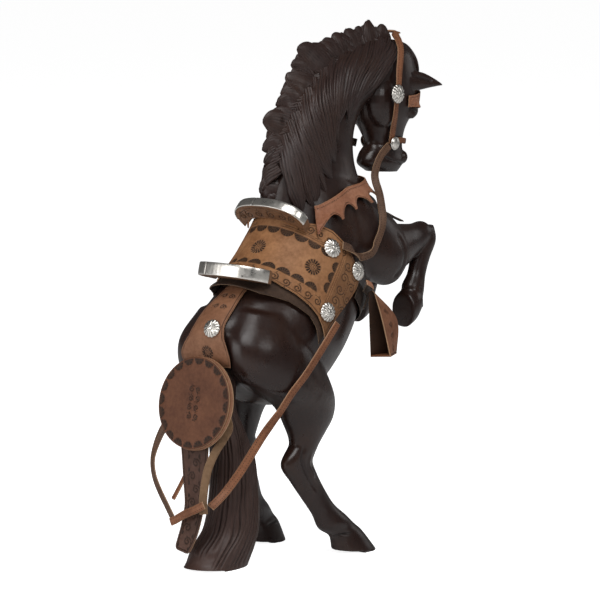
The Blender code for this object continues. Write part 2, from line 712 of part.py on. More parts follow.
def saddle(body, skin):
    """The crupper, the skirt, the saddle leather and the two boards with their silver edges."""
    trunk = Trunk(skin)
    thin = LEATHER / UNIT
    crupper = cover("crupper", trunk, crupper_outline, 9, 5, 0.5, thin, STRAP_LEATHER)
    skirt = cover("saddle_skirt", trunk, skirt_outline, 5, 23, skirt_lift, 1.8, DARK_LEATHER)
    lift = lambda s, t: SKIRT_LIFT + 0.1 + skirt_lift(s, t)
    leather = cover("saddle_leather", trunk, saddle_outline, 7, 21, lift, thin, SADDLE_LEATHER)
    under = Skin(body, crupper, skirt, leather)
    for name, at, out, half, height, thick in (
        ("pommel", (59.5, 0.0, 235.5), (-0.707, 0.0, 0.707), 29.0, 17.5, POMMEL_THICKNESS / UNIT),
        ("cantle", (23.0, 0.0, 200.6), (-0.97, 0.0, 0.243), 27.0, 22.0, CANTLE_THICKNESS / UNIT),
    ):
        deep = (out[2], 0.0, -out[0])
        _, xs, feet, tops = board(name, under, at, out, deep, half, height, thick, SADDLE_LEATHER)
        board_trim(name + "_trim", at, out, deep, xs, feet, tops, thick)
    return trunk


def stood_off(skin, middle, way, above, start, spread, clear):
    """The place one way from the middle that clears the skin there and a little to all sides."""
    side = np.cross(above, way)
    far = 0.0
    for i, j in product(np.linspace(-1, 1, 5), np.linspace(-1, 1, 5)):
        shift = side * i * spread[0] + np.array(above, float) * j * spread[1]
        far = max(far, start - skin.depth(middle + shift + way * start, -way))
    return middle + way * (far + clear)


def collar(skin):
    """The breast collar: a band round the root of the neck with a scalloped lower edge."""
    tilt = math.radians(18.5)
    level = np.array((math.cos(tilt), 0.0, math.sin(tilt)))
    above = np.array((-math.sin(tilt), 0.0, math.cos(tilt)))
    side = np.array((0.0, 1.0, 0.0))
    centre = np.array((108.0, 0.0, 248.5))
    inner, outer = [], []
    columns = COLLAR_SCALLOPS * 4 + 1
    for k in range(3):
        low_row, high_row = [], []
        for j in range(columns):
            share = j / (columns - 1)
            turn = math.radians(COLLAR_REACH) * (2 * share - 1)
            bite = abs(math.sin(share * COLLAR_SCALLOPS * math.pi))
            low = -9.5 + 5.5 * bite
            rise = low + (6.0 - low) * k / 2 - 9.0 * max(math.cos(turn), 0) ** 2
            middle = centre + above * rise
            way = level * math.cos(turn) + side * math.sin(turn)
            low_row.append(stood_off(skin, middle, way, above, 52, (3.8, 4.6), 0.9))
            high_row.append(low_row[-1] + way * LEATHER / UNIT)
        inner.append(low_row)
        outer.append(high_row)
    sheet("breast_collar", inner, outer, PALE_LEATHER)
    strap(
        "collar_end",
        [(174, 2, 231.5), (180, 3, 229.5), (189, 3.5, 225.5), (198, 4, 222)],
        [(0.3, 0, 1)] * 4,
        DARK_LEATHER,
        4.0,
    )


def bridle(body, skin):
    """The headstall, the band over the brow, the nose band and the conchos of the head."""
    thin = LEATHER / UNIT
    crown = [(176, 11.5, 281), (174.5, 14, 292), (171, 17.5, 305), (171.5, 17.5, 317), (175, 15.5, 332)]
    crown += [(181, 12, 345), (189, 6, 351), (194, 0, 353.5)]
    route = crown + [(f, -r, z) for f, r, z in crown[-2::-1]]
    path, faces = laid(skin, route, 0.6)
    strap("headstall", path, faces, STRAP_LEATHER, 5.2, over=skin)
    inner, outer = [], []
    for k in range(4):
        low_row, high_row = [], []
        for j in range(13):
            turn = math.radians(78) * (j / 6 - 1)
            half = 4.2 + 3.8 * math.cos(turn) ** 6
            rise = 310.4 + half * (k / 1.5 - 1) - 0.6 * math.cos(turn) ** 2
            middle = np.array((184.0, 0.0, rise))
            way = np.array((math.cos(turn), math.sin(turn), 0.0))
            low_row.append(stood_off(skin, middle, way, (0, 0, 1), 60, (1.5, 2.0), 0.9))
            high_row.append(low_row[-1] + way * thin)
        inner.append(low_row)
        outer.append(high_row)
    sheet("brow_band", inner, outer, PALE_LEATHER)
    nose = [(182.5, 11.5, 282.5), (190, 10, 282), (197, 6, 281), (199.5, 0, 281)]
    route = nose + [(f, -r, z) for f, r, z in nose[-2::-1]]
    path, faces = laid(skin, route, 0.6)
    strap("nose_band", path, faces, STRAP_LEATHER, 4.2, over=skin)
    over = Skin(body, *named("headstall", "brow_band", "nose_band"))
    for side, hand in ((1, "right"), (-1, "left")):
        for kind, spot, size in (("temple", (169.5, 20 * side, 317), 6.8), ("bit", (177, 14 * side, 280.5), 4.8)):
            at, face = over.nearest(spot)
            face = unit(unit(face) * 0.5 + np.array((0.0, side * 1.5, 0.0)))
            concho(f"{kind}_concho_{hand}", seated(over, at, face, size), face, size)


def saddle_conchos(trunk, over):
    """Three conchos on each side of the saddle and one on the rump."""
    for side, hand in ((1, "right"), (-1, "left")):
        for kind, along, degrees in (("front", 9.5, 57.5), ("flap", 9.0, 97.0), ("rear", -32.5, 79.0)):
            at = trunk.place(along, side * degrees, 0.0)
            near = trunk.place(along + 2, side * degrees, 0) - trunk.place(along - 2, side * degrees, 0)
            round_ = trunk.place(along, side * degrees + 3, 0) - trunk.place(along, side * degrees - 3, 0)
            face = unit(np.cross(near, round_))
            if np.dot(face, at - about_axis(along, degrees, 0)) < 0:
                face = -face
            concho(f"saddle_concho_{kind}_{hand}", seated(over, at, face, CONCHO_RADIUS / UNIT), face)
    face = unit((-0.92, 0.12, 0.35))
    concho("rump_concho", seated(over, trunk.place(-83, 5, 0.0), face, 6.4), face, 6.4)


def girth(trunk):
    """The girth under the belly, from flap to flap."""
    inner, outer = [], []
    for k in range(3):
        low_row, high_row = [], []
        for j in range(15):
            degrees = 112 + (248 - 112) * j / 14
            along = 1 + 6 * (k - 1)
            turn = degrees if degrees <= 180 else degrees - 360
            low_row.append(trunk.place(along, turn, 0.5))
            high_row.append(trunk.place(along, turn, 0.5 + LEATHER / UNIT))
        inner.append(low_row)
        outer.append(high_row)
    sheet("girth", inner, outer, DARK_LEATHER)


def stirrup(name, side):
    """A folded leather stirrup with a floor, open at the rear, on the strap that holds it."""
    top = [(111, 43.5, 183), (112, 46.5, 184.6), (111, 50, 183)]
    waist = [(116.5, 39.5, 163), (140.5, 46, 161.5), (117, 52, 163)]
    bottom = [(122, 36.5, 135.5), (141, 45.5, 136.5), (122.5, 55, 137)]
    thickness = LEATHER / UNIT
    rows = smooth_rows([np.array(r, float).ravel() for r in (top, waist, bottom)], 3)
    skins = ([], [])
    for row in rows:
        a, b, c = row.reshape(3, 3)
        first, second = unit(b - a), unit(c - b)
        inward = np.cross((0.0, 0.0, 1.0), first), np.cross((0.0, 0.0, 1.0), second)
        inward = [unit(way) * np.sign(np.dot(way, (a + c) / 2 - b)) * thickness for way in inward]
        deep = (inward[0] + inward[1]) / (1 + np.dot(*inward) / thickness**2)
        skins[0].append([a, (a + b) / 2, b * 0.95 + a * 0.05, b * 0.95 + c * 0.05, (b + c) / 2, c])
        near, far = b + deep - first * 0.3, b + deep + second * 0.3
        outer_half = [a + inward[0], (a + b) / 2 + inward[0], near]
        skins[1].append(outer_half + [far, (b + c) / 2 + inward[1], c + inward[1]])
    for corner in skins[1][-1]:
        corner += np.array((0.0, 0.0, thickness))
    mesh = bmesh.new()
    outer, inner = (
        [[mesh.verts.new(place((f, r * side, z))) for f, r, z in line] for line in skin] for skin in skins
    )
    for grid in (outer, inner):
        for first, second in zip(grid, grid[1:]):
            for j in range(5):
                mesh.faces.new((first[j], first[j + 1], second[j + 1], second[j]))
        low = grid[-1]
        mesh.faces.new((low[0], low[1], low[4], low[5]))
        mesh.faces.new((low[1], low[2], low[3], low[4]))
    rim = []
    for grid in (outer, inner):
        rim.append([line[0] for line in grid[::-1]] + grid[0][1:] + [line[-1] for line in grid[1:]])
    count = len(rim[0])
    for i in range(count):
        j = (i + 1) % count
        mesh.faces.new((rim[0][i], rim[0][j], rim[1][j], rim[1][i]))
    return link(name, mesh, STRAP_LEATHER)


def disc(name, centre, face, radius, finish):
    """A round piece of leather on its face."""
    face = unit(face)
    side = unit(np.cross(face, (0.0, 0.0, 1.0)))
    other = np.cross(face, side)
    turns = np.arange(28) * 2 * math.pi / 28
    ring = np.array(centre) + (side * np.cos(turns)[:, None] + other * np.sin(turns)[:, None]) * radius
    return tube(name, [ring, ring + face * LEATHER / UNIT], finish)


def reins(over):
    """The right rein, slung over the shoulder, and the left one along the neck."""
    path = [(167, 16.5, 280), (160, 17, 276), (153.5, 17, 269.5), (148, 18.5, 260), (146, 23, 250.5)]
    path += [(142.5, 28, 244), (136.5, 35, 232), (130.5, 38, 223), (125, 39, 214.5), (117, 40, 209.5)]
    path += [(110.5, 40, 207.5), (100.5, 41, 210), (92, 41, 215), (86, 41, 218)]
    low, faces = laid(over, path[7:], LEATHER / UNIT)
    path = path[:7] + low
    faces = [(-0.2, 1.0, 0.2)] * 3 + [(-0.6, 0.8, 0.0)] * 4 + faces
    strap("rein_right", path, faces, STRAP_LEATHER, over=over, clear=0.9 * LEATHER / UNIT)
    path = [(171, -15.5, 280), (164, -15.5, 281.5), (152, -15, 282.5), (141, -14, 278), (130, -13, 270)]
    path += [(119, -14, 260), (109, -17, 249), (101, -22, 237), (95, -30, 226), (89, -36, 218)]
    strap("rein_left", path, [(0.0, -1.0, 0.1)] * 10, STRAP_LEATHER, over=over, above=32.0)


def straps(over):
    """The stirrup straps and the long straps along the haunches."""
    for side, hand in ((1, "right"), (-1, "left")):
        stirrup("stirrup_" + hand, side)
        path = [(104.5, 46.6, 190.4), (107, 47.2, 189.2), (109.5, 47, 187.8), (111, 46.3, 186.6)]
        path = [(f, r * side, z) for f, r, z in path]
        strap("stirrup_strap_" + hand, path, [(0.5, side, 0.6)] * 4, PALE_LEATHER, 4.6)
        path = [(109.5, 37, 187), (113, 37, 184.5), (115.5, 36.5, 181), (115, 35.5, 176.5), (111.5, 35, 171.5)]
        path = [(f, r * side, z) for f, r, z in path]
        strap("girth_end_" + hand, path, [(0.5, side, -0.5)] * 5, DARK_LEATHER, (6.5, 6.5, 6.0, 5.0, 2.0), over=over)
        path = [(68.4, 46.6, 166.8), (57, 45.5, 153), (36, 47.5, 134), (26, 45.5, 122), (21, 39, 110), (14, 30, 93)]
        path = [(f, r * side, z) for f, r, z in path]
        if side > 0:
            path += [(0, 22.5, 70), (-12, 17, 54), (-23.5, 14.8, 46)]
        else:
            path += [(-3, -21, 76), (-16, -14, 64), (-24.5, -17.5, 48)]
        path, _ = laid(over, path, 1.0, 5.0)
        faces = [(0, side, 0.1)] * 3 + [(-0.3, side, -0.2)] * 2 + [(-0.7, side * 0.7, 0.1)] * 2
        faces += [(-0.9, side * 0.5, 0.3)] * 2
        strap("breeching_" + hand, path, faces, STRAP_LEATHER, 5.8, over=over)


def tail_tack(over):
    """The leather disc behind the dock, the strap that hangs from it and the loops that tie it."""
    face = unit((-0.978, 0.0, 0.208))
    radius = DISC_RADIUS / UNIT
    centre = seated(over, np.array((-16.6, -2.0, 115.2)), face, radius, 0.4)
    disc("crupper_disc_back", centre + np.array((0.0, 1.2, 0.0)), face, radius, STRAP_LEATHER)
    disc("crupper_disc", centre + face * (LEATHER + GAP) / UNIT, face, radius - 0.7, STRAP_LEATHER)
    back = (-1.0, 0.0, 0.0)
    path = [(-14.2, -3, 106), (-18.3, -2.5, 92), (-20.5, -1, 78), (-22, 0, 62), (-23.0, 0.5, 46), (-26, -1.5, 29)]
    path.append((-30.0, -5, 14))
    strap("hanging_strap", path, [back] * 7, STRAP_LEATHER, (26, 26, 23.5, 20.5, 17.5, 16, 12))
    path = [(-12.8, 19, 110), (-12.5, 22, 99.5), (-19, 17, 86), (-24.5, 13.5, 72), (-27.5, 12, 53), (-27.5, 12.5, 42)]
    strap("loop_strap_right", path, [(-0.8, 0.6, 0.0)] * 6, PALE_LEATHER, 5.6)
    path = [(-14.5, -26, 106), (-17, -34.5, 93), (-22, -38, 75), (-24.5, -33.5, 60), (-27.5, -21, 45), (-28, -15, 37)]
    strap("loop_strap_left", path, [(-1.0, 0.1, 0.0)] * 2 + [(-0.9, -0.3, 0.0)] * 4, STRAP_LEATHER, 5.6)
    path = [(-30.6, -14.5, 34.0), (-31.2, -9, 36.5), (-31.4, -1, 41.0), (-31.2, 8, 45.0), (-30.2, 15.5, 49)]
    strap("cross_strap", path, [back] * 5, STRAP_LEATHER, 5.6)


def main():
    for obj in list(bpy.data.objects):
        bpy.data.objects.remove(obj)
    bpy.context.scene.collection.children.link(bpy.data.collections.new("rearing_horse"))
    body = horse()
    skin = Skin(body)
    trunk = saddle(body, skin)
    collar(Skin(body, *named("saddle_leather", "saddle_skirt")))
    bridle(body, skin)
    girth(trunk)
    reins(Skin(body, *named("breast_collar", "saddle_leather")))
    straps(Skin(body, *named("saddle_leather", "saddle_skirt", "girth")))
    tail_tack(Skin(body, *named("crupper")))
    strapped = named("saddle_leather", "saddle_skirt", "crupper", "breast_collar", "rein_left", "rein_right")
    strapped += named("breeching_left", "breeching_right")
    saddle_conchos(trunk, Skin(body, *strapped))
    centre_on_origin()


def centre_on_origin():
    """Puts the origin at the middle of the underside of everything."""
    parts = list(bpy.data.collections["rearing_horse"].objects)
    points = np.array([vert.co[:] for obj in parts for vert in obj.data.vertices])
    low, high = points.min(0), points.max(0)
    shift = Vector(((low[0] + high[0]) / 2, (low[1] + high[1]) / 2, low[2]))
    for obj in parts:
        for vert in obj.data.vertices:
            vert.co -= shift
    print("origin in design units", design(shift).round(2))


main()
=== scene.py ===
"""The looks of the rearing horse: carved wood, tooled leather tack and silver conchos.

Places are written as (forward, right, up) in millimetres, as in the part's own source. The horse
faces -Y, its right side is -X and it stands on z = 0.
"""

import logging
import math
from dataclasses import dataclass, field
from enum import Enum
from itertools import product
from typing import Callable, Optional, Sequence

import bmesh
import bpy
import numpy as np
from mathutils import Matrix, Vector
from mathutils.bvhtree import BVHTree


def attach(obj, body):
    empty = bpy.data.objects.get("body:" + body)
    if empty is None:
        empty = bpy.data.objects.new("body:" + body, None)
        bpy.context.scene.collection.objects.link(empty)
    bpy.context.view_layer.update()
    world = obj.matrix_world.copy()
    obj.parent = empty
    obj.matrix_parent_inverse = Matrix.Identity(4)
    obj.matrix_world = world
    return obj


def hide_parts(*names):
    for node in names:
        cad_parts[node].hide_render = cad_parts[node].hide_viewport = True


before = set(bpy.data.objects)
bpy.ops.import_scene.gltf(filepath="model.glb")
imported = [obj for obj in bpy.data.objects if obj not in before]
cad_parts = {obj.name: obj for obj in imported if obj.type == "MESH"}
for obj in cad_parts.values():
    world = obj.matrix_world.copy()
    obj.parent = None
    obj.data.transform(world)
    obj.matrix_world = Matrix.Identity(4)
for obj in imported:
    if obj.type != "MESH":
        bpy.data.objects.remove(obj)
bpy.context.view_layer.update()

LOG = logging.getLogger("rearing_horse")
Array = np.ndarray
Numbers = Sequence[float]
Rows = Sequence[Numbers]
Stops = Sequence[tuple[float, float]]
Thing = bpy.types.Object
Socket = bpy.types.NodeSocket
Tree = bpy.types.NodeTree

# Metres in a millimetre, and how far forward in the design the middle of the object lies.
UNIT = 0.001
ORIGIN_FORWARD = 94.73

# The line that places on the trunk turn round, and how the left hind leg differs from the right.
AXIS_AT = (90.0, 194.0)
AXIS_TILT = math.radians(51.7)
HOCK_HEIGHT = 72.0
LEFT_HOOF_SET_BACK = 15.0
LEFT_LEG_TRIM = 13.0

# Sizes that several pieces share, in millimetres. CLEAR is the gap under a leather, and FAR is
# past everything.
LEATHER = 1.4
CLEAR = 0.5
STRAP_WIDTH = 5.6
CONCHO_RADIUS = 6.8
SKIRT_LIFT = 2.9
DISC_RADIUS = 32.2
FAR = 1000.0

# Steps of a leather's face to one step of its under side.
COARSE = 6

FORWARD, SIDEWAYS, UPWARD = np.eye(3)

# Each station of a loft: back (forward, up), front (forward, up), right, half width, and its
# squareness where that isn't 1.
TORSO = (
    (-5, 142, 31, 110, 0, 20), (-9, 167, 60, 106, 0, 33), (9, 184, 89, 114, 0, 40),
    (25, 195, 109.5, 130.5, 0, 41.5), (41, 208, 123, 147, 0, 41), (53, 221, 134, 165, 0, 39),
    (62, 235, 150, 184, 0, 35), (67, 248, 165, 198, 0, 32), (73, 262, 174, 218, 0, 27),
    (80, 273, 166, 240, 0, 20),
)
NECK = (
    (60, 243, 171, 220, 0, 25), (67, 266, 158, 243, 0, 19.5), (74, 285, 146, 262, 0, 16),
    (86, 304, 142, 279, 0, 14.5), (102, 323, 144, 294, 0, 14), (125, 338, 152, 306, 0, 14),
    (152, 344, 162, 310, 0, 14.5), (176, 351, 172, 310, 0, 14.5), (198, 345, 186, 308, 0, 12.5),
)
HEAD = (
    (172, 349, 196, 352, 0, 8), (161, 338, 208, 345, 0, 13.5), (153, 324, 213, 329, 0, 16.5, 0.95),
    (151, 311, 212, 313, 0, 17, 0.9), (153, 300, 208, 302, 0, 15.5, 0.9),
    (160, 290, 201, 291, 0, 12, 0.9), (164, 281, 199, 281, 0, 9.5, 0.9),
    (158, 274, 199, 273, 0, 10.5, 0.9), (156, 267, 200, 266, 0, 11.5, 0.95),
    (165, 261, 194, 259, 0, 8.5),
)
HIND_LEG = (
    (8, 179, 64, 164, 14, 20), (-8, 156, 76, 141, 21, 22.5), (0, 131, 89, 114, 25, 21.5),
    (31, 112, 88, 98, 27, 15.5), (42, 95, 79, 87, 28, 11), (47, 81, 71, 78, 28, 8.5),
    (38, 68, 68, 69, 27, 7.5), (47, 55, 71, 60, 28, 6.8), (57, 42, 78, 48, 29.5, 5.8),
    (66, 30, 86, 36, 31.5, 6.2), (71, 20, 97, 27, 33, 7.8), (79, 15, 105, 20, 34, 7.5),
    (84, 11, 112, 14, 34.5, 9.5, 0.95), (87, 2.4, 125, -1.6, 35.5, 13.5, 0.95),
)
SHOULDER = (
    (98, 238, 134, 250, 15, 12), (106, 220, 158, 234, 19, 16), (114, 201, 176, 214, 22, 17),
    (127, 191, 174, 199, 24, 14), (149, 182, 164, 189, 26, 7.5),
)
FOREARM = (
    (152, 187, 156, 226, 22, 15), (172, 191, 176, 224, 21, 11.5), (187.5, 198, 189.5, 223, 20, 9),
    (199, 205, 200, 224, 20, 8), (209.5, 209, 206.5, 221, 20, 6),
)
CANNON = (
    (196.5, 217, 211.5, 221, 20, 6.5), (193.5, 207, 213.5, 210, 20, 7.8),
    (189.5, 196, 206.5, 197, 20.5, 6.4), (185.5, 187, 201.5, 185, 21, 5.8),
    (179.5, 179, 198.5, 175, 21.5, 7.2), (182, 172, 196.5, 168, 22, 6.4),
    (184, 166, 196.5, 162, 22, 6.8),
)
FORE_HOOF = (
    (188, 178, 194, 161, 22, 7.5), (183, 178, 186, 153, 22, 9.5, 0.95),
    (176.5, 174, 177, 149, 22, 10.5, 0.95),
)
TAIL = (
    (-4, 150, 24, 142, 0, 8), (-12, 132, 18, 127, 0, 9), (-9, 112, 16, 109, 0, 10.5),
    (-5, 97, 22.5, 95.5, 0, 12), (-2, 83, 29.5, 82, 0, 13.5), (-1, 70, 34.5, 70, 0, 14.5),
    (-2, 46, 37, 46, 0, 16), (-7, 26, 37, 26, 0, 17.5), (-20, 13, 32, 12, 0, 18.5),
    (-27.5, 2, 24, -1.6, 0, 17.5, 0.95),
)

# Locks of the mane on the neck: (along, round in degrees, lift) from root to tip, then half width.
RIGHT_LOCKS = (
    (((0.95, 8, 3), (0.86, 45, 2.5), (0.76, 72, 2), (0.68, 92, 1.5), (0.61, 106, 0)), 6.5),
    (((0.86, 5, 4), (0.74, 50, 3), (0.64, 74, 2.5), (0.55, 90, 2), (0.47, 103, 0)), 7.0),
    (((0.76, -2, 4), (0.64, 34, 3.5), (0.53, 60, 3), (0.47, 73, 2), (0.41, 82, 0)), 7.5),
    (((0.67, -2, 4), (0.56, 34, 3.5), (0.46, 58, 3), (0.37, 72, 2), (0.31, 82, 0)), 7.5),
    (((0.58, -2, 4), (0.46, 30, 3.5), (0.37, 56, 3), (0.29, 74, 2), (0.24, 86, 0)), 8.0),
    (((0.48, -2, 4), (0.37, 28, 3.5), (0.29, 50, 3), (0.21, 66, 2), (0.15, 76, 0)), 8.0),
    (((0.38, -2, 4), (0.27, 26, 3), (0.18, 42, 3), (0.09, 50, 2), (0.02, 54, 0)), 8.0),
    (((0.29, -2, 4), (0.19, 16, 3), (0.11, 28, 3), (0.04, 34, 2), (-0.01, 38, 0)), 7.5),
)
LEFT_LOCKS = (
    (((0.96, 2, 2), (0.90, -28, 6), (0.82, -58, 5), (0.74, -86, 2), (0.68, -102, 0)), 7.5),
    (((0.86, 2, 3), (0.81, -24, 11), (0.73, -54, 9), (0.64, -80, 3), (0.56, -98, 0)), 8.5),
    (((0.75, 2, 3), (0.70, -24, 14), (0.61, -54, 12), (0.52, -76, 3), (0.44, -92, 0)), 9.0),
    (((0.65, 2, 3), (0.60, -24, 15), (0.51, -54, 12), (0.42, -76, 3), (0.34, -90, 0)), 9.0),
    (((0.55, 2, 3), (0.50, -24, 13), (0.42, -54, 11), (0.33, -76, 3), (0.26, -88, 0)), 9.0),
    (((0.45, 2, 3), (0.40, -22, 10), (0.33, -50, 9), (0.25, -70, 3), (0.18, -82, 0)), 9.0),
    (((0.35, 2, 3), (0.30, -20, 8), (0.23, -44, 6), (0.15, -60, 3), (0.08, -70, 0)), 9.0),
    (((0.25, 2, 3), (0.20, -18, 6), (0.14, -38, 5), (0.07, -50, 3), (0.02, -58, 0)), 8.5),
    (((0.16, 2, 3), (0.11, -16, 5), (0.06, -34, 4), (0.01, -46, 3), (-0.03, -54, 0)), 7.5),
)
# Tufts that stand off the crest: root along the neck, tip (forward, up) and half width.
CREST = (
    (0.93, 181, 357.5, 5), (0.9, 176, 362.5, 6.5), (0.85, 167.5, 367.5, 6.5), (0.8, 156, 363.5, 7),
    (0.75, 144.5, 362, 7), (0.7, 132, 360, 7), (0.665, 122, 356, 7), (0.63, 109, 353, 7),
    (0.6, 95.5, 351.5, 7.5), (0.55, 90, 341, 7.5), (0.5, 84.5, 333, 7.5), (0.45, 80.5, 322, 7.5),
    (0.4, 76.5, 314, 7.5), (0.335, 62, 303, 7.5), (0.29, 65.5, 293, 7.5), (0.24, 61.5, 284, 7.5),
    (0.18, 63.5, 272, 7.5), (0.12, 62, 262, 7.5), (0.07, 57.5, 255.5, 7.5), (0.03, 61, 249.5, 7),
)

# Grooves cut into the right side: route, half width, depth, and how much painted shade darkens them.
LEG_GROOVES = (
    (((54, 34, 84), (50, 34.5, 72), (56, 34, 60), (66, 35, 46)), 1.4, 1.35, 0.4),
    (((60, 33.5, 78), (58, 34.5, 68), (64, 34, 56)), 1.3, -1.0),
    (((79, 26, 16), (83, 38, 14.5), (95, 43.5, 15.5), (108, 43, 17), (114, 35, 17)), 0.85, 1.2, 0.8),
    (((78, 30, 14), (84, 25, 12), (96, 25, 14), (110, 28, 17)), 0.85, 1.1, 0.7),
)
BODY_GROOVES = (
    (((191, 11, 176), (186, 20, 179.5), (190, 30, 176), (196, 33, 168), (197, 24, 161)), 0.8, 1.0, 0.8),
    (((152, 34, 222), (160, 36, 208), (158, 36, 196), (148, 36, 188)), 2.6, 1.5, 0.25),
    (((30, 50, 140), (44, 50, 126), (58, 50, 112)), 4.5, 1.1),
)
# Grooves of the head, in the same columns: a third number after the depth is painted shade.
HEAD_GROOVES = (
    (((192, 16, 301), (196, 16.8, 304), (200.5, 15, 301.5), (197, 16, 297.5), (192, 16, 301)), 0.7, 0.7, 0.9),
    (((202, 10.5, 272), (203, 9.5, 268.5), (201, 9.5, 266)), 1.1, 1.6, 1.0),
    (((196, 9, 262), (186, 10.5, 266.5), (175, 11, 270), (167, 10.5, 274)), 0.7, 0.9, 0.9),
    (((192, 13, 329), (203, 18, 326.5), (214, 20.5, 323.5)), 1.6, 1.4, 0.6),
    (((199, 14, 294), (195, 13, 284), (196, 11, 275)), 1.5, -0.6),
    (((199, 0, 262.5), (199, 5, 262.5), (196, 9, 262)), 0.7, 0.9, 0.9),
)
# Swellings of the right side of the head: middle and half sizes.
HEAD_BLOBS = (
    ((197, 11.5, 303), (8, 5, 6)),
    ((170, 9, 311), (17, 9.2, 19)),
    ((196.5, 14, 300.5), (4.2, 2.4, 3.2)),
    ((195.5, 6, 269.5), (4, 4.2, 4.8)),
)
EAR = ((180, 8, 323), (191, 11, 324), (205, 15, 324), (215, 18, 322.5), (223, 21, 320.5))


class Hand(Enum):
    """The two sides of the horse, with the sign of the right-hand distance."""

    RIGHT = 1
    LEFT = -1

    @property
    def word(self) -> str:
        """The side as it stands in the names of pieces."""
        return self.name.lower()

    def mirrored(self, path: Rows) -> list[tuple[float, float, float]]:
        """A path of the right side, brought to this side."""
        return [(f, r * self.value, z) for f, r, z in path]


def to_world(points: Array) -> Array:
    """World metres of places in millimetres."""
    p = np.asarray(points, float).reshape(-1, 3)
    return np.stack([-p[:, 1], ORIGIN_FORWARD - p[:, 0], p[:, 2]], 1) * UNIT


def to_places(points: Array) -> Array:
    """Places in millimetres of world coordinates."""
    w = np.asarray(points, float).reshape(-1, 3) / UNIT
    return np.stack([ORIGIN_FORWARD - w[:, 1], -w[:, 0], w[:, 2]], 1)


def unit(vectors: Array) -> Array:
    """Vectors brought to length one."""
    return vectors / np.maximum(np.linalg.norm(vectors, axis=-1, keepdims=True), 1e-12)


def around(count: int) -> Array:
    """Even turns in radians, from 0 on."""
    return np.arange(count) * 2 * math.pi / count


def passed(line: Array) -> Array:
    """How far along a line each of its places is."""
    return np.concatenate([[0], np.cumsum(np.linalg.norm(np.diff(line, axis=0), axis=1))])


def neighbours(values: Array) -> Array:
    """Each value with the ones before and after it, as three rows."""
    held = np.concatenate([values[:1], values, values[-1:]])
    return np.stack([held[:-2], held[1:-1], held[2:]])


def inside_box(points: Array, line: Array, margin: float) -> Array:
    """Whether each point is in the box round a line, with a margin."""
    return ((points > line.min(0) - margin) & (points < line.max(0) + margin)).all(1)


def ways(centre: Array, faces: Array) -> tuple[Array, Array]:
    """The ways out of and across a ribbon.

    Args:
        centre: The places of its middle line.
        faces: Roughly the way it faces at each.

    Returns:
        Rows of unit length.
    """
    along = unit(np.gradient(centre, axis=0))
    out = unit(faces - along * np.sum(along * faces, axis=1)[:, None])
    return out, np.cross(along, out)


def linked(name: str, data: bpy.types.ID) -> Thing:
    """A new object in the scene.

    Args:
        name: Its name.
        data: Its mesh, light or camera.

    Returns:
        The object.
    """
    made = bpy.data.objects.new(name, data)
    bpy.context.scene.collection.objects.link(made)
    return made


def smooth_rows(rows: Rows, steps: int) -> Array:
    """Rows of numbers with smooth in-between rows added.

    Args:
        rows: Rows of equal length.
        steps: How many rows each gap becomes.

    Returns:
        The rows of the smooth run.
    """
    rows = np.asarray(rows, float)
    padded = np.vstack([2 * rows[0] - rows[1], rows, 2 * rows[-1] - rows[-2]])
    t = (np.arange(steps) / steps)[:, None]
    out = []
    for i in range(len(rows) - 1):
        a, b, c, d = padded[i : i + 4]
        square = (2 * a - 5 * b + 4 * c - d) * t**2
        out.append(0.5 * (2 * b + (c - a) * t + square + (3 * b - a - 3 * c + d) * t**3))
    return np.vstack(out + [rows[-1:]])


def ramp(value: Array, stops: Stops) -> Array:
    """Values between stops of (at, value), joined by straight lines."""
    return np.interp(value, [s[0] for s in stops], [s[1] for s in stops])


def between(table: Array, row: Array, column: Array) -> Array:
    """Values of a table at places between its rows and columns.

    Args:
        table: Rows and columns of numbers.
        row: How many rows down.
        column: How many columns across.

    Returns:
        The values there.
    """
    row = np.clip(row, 0, table.shape[0] - 1.001)
    column = np.clip(column, 0, table.shape[1] - 1.001)
    a, b = row.astype(int), column.astype(int)
    p, q = row - a, column - b
    low = table[a, b] * (1 - q) + table[a, b + 1] * q
    return low * (1 - p) + (table[a + 1, b] * (1 - q) + table[a + 1, b + 1] * q) * p


def soft_step(value: Array, low: float, high: float) -> Array:
    """A smooth step from 0 to 1 between two values."""
    t = np.clip((np.asarray(value, float) - low) / (high - low), 0, 1)
    return t * t * (3 - 2 * t)


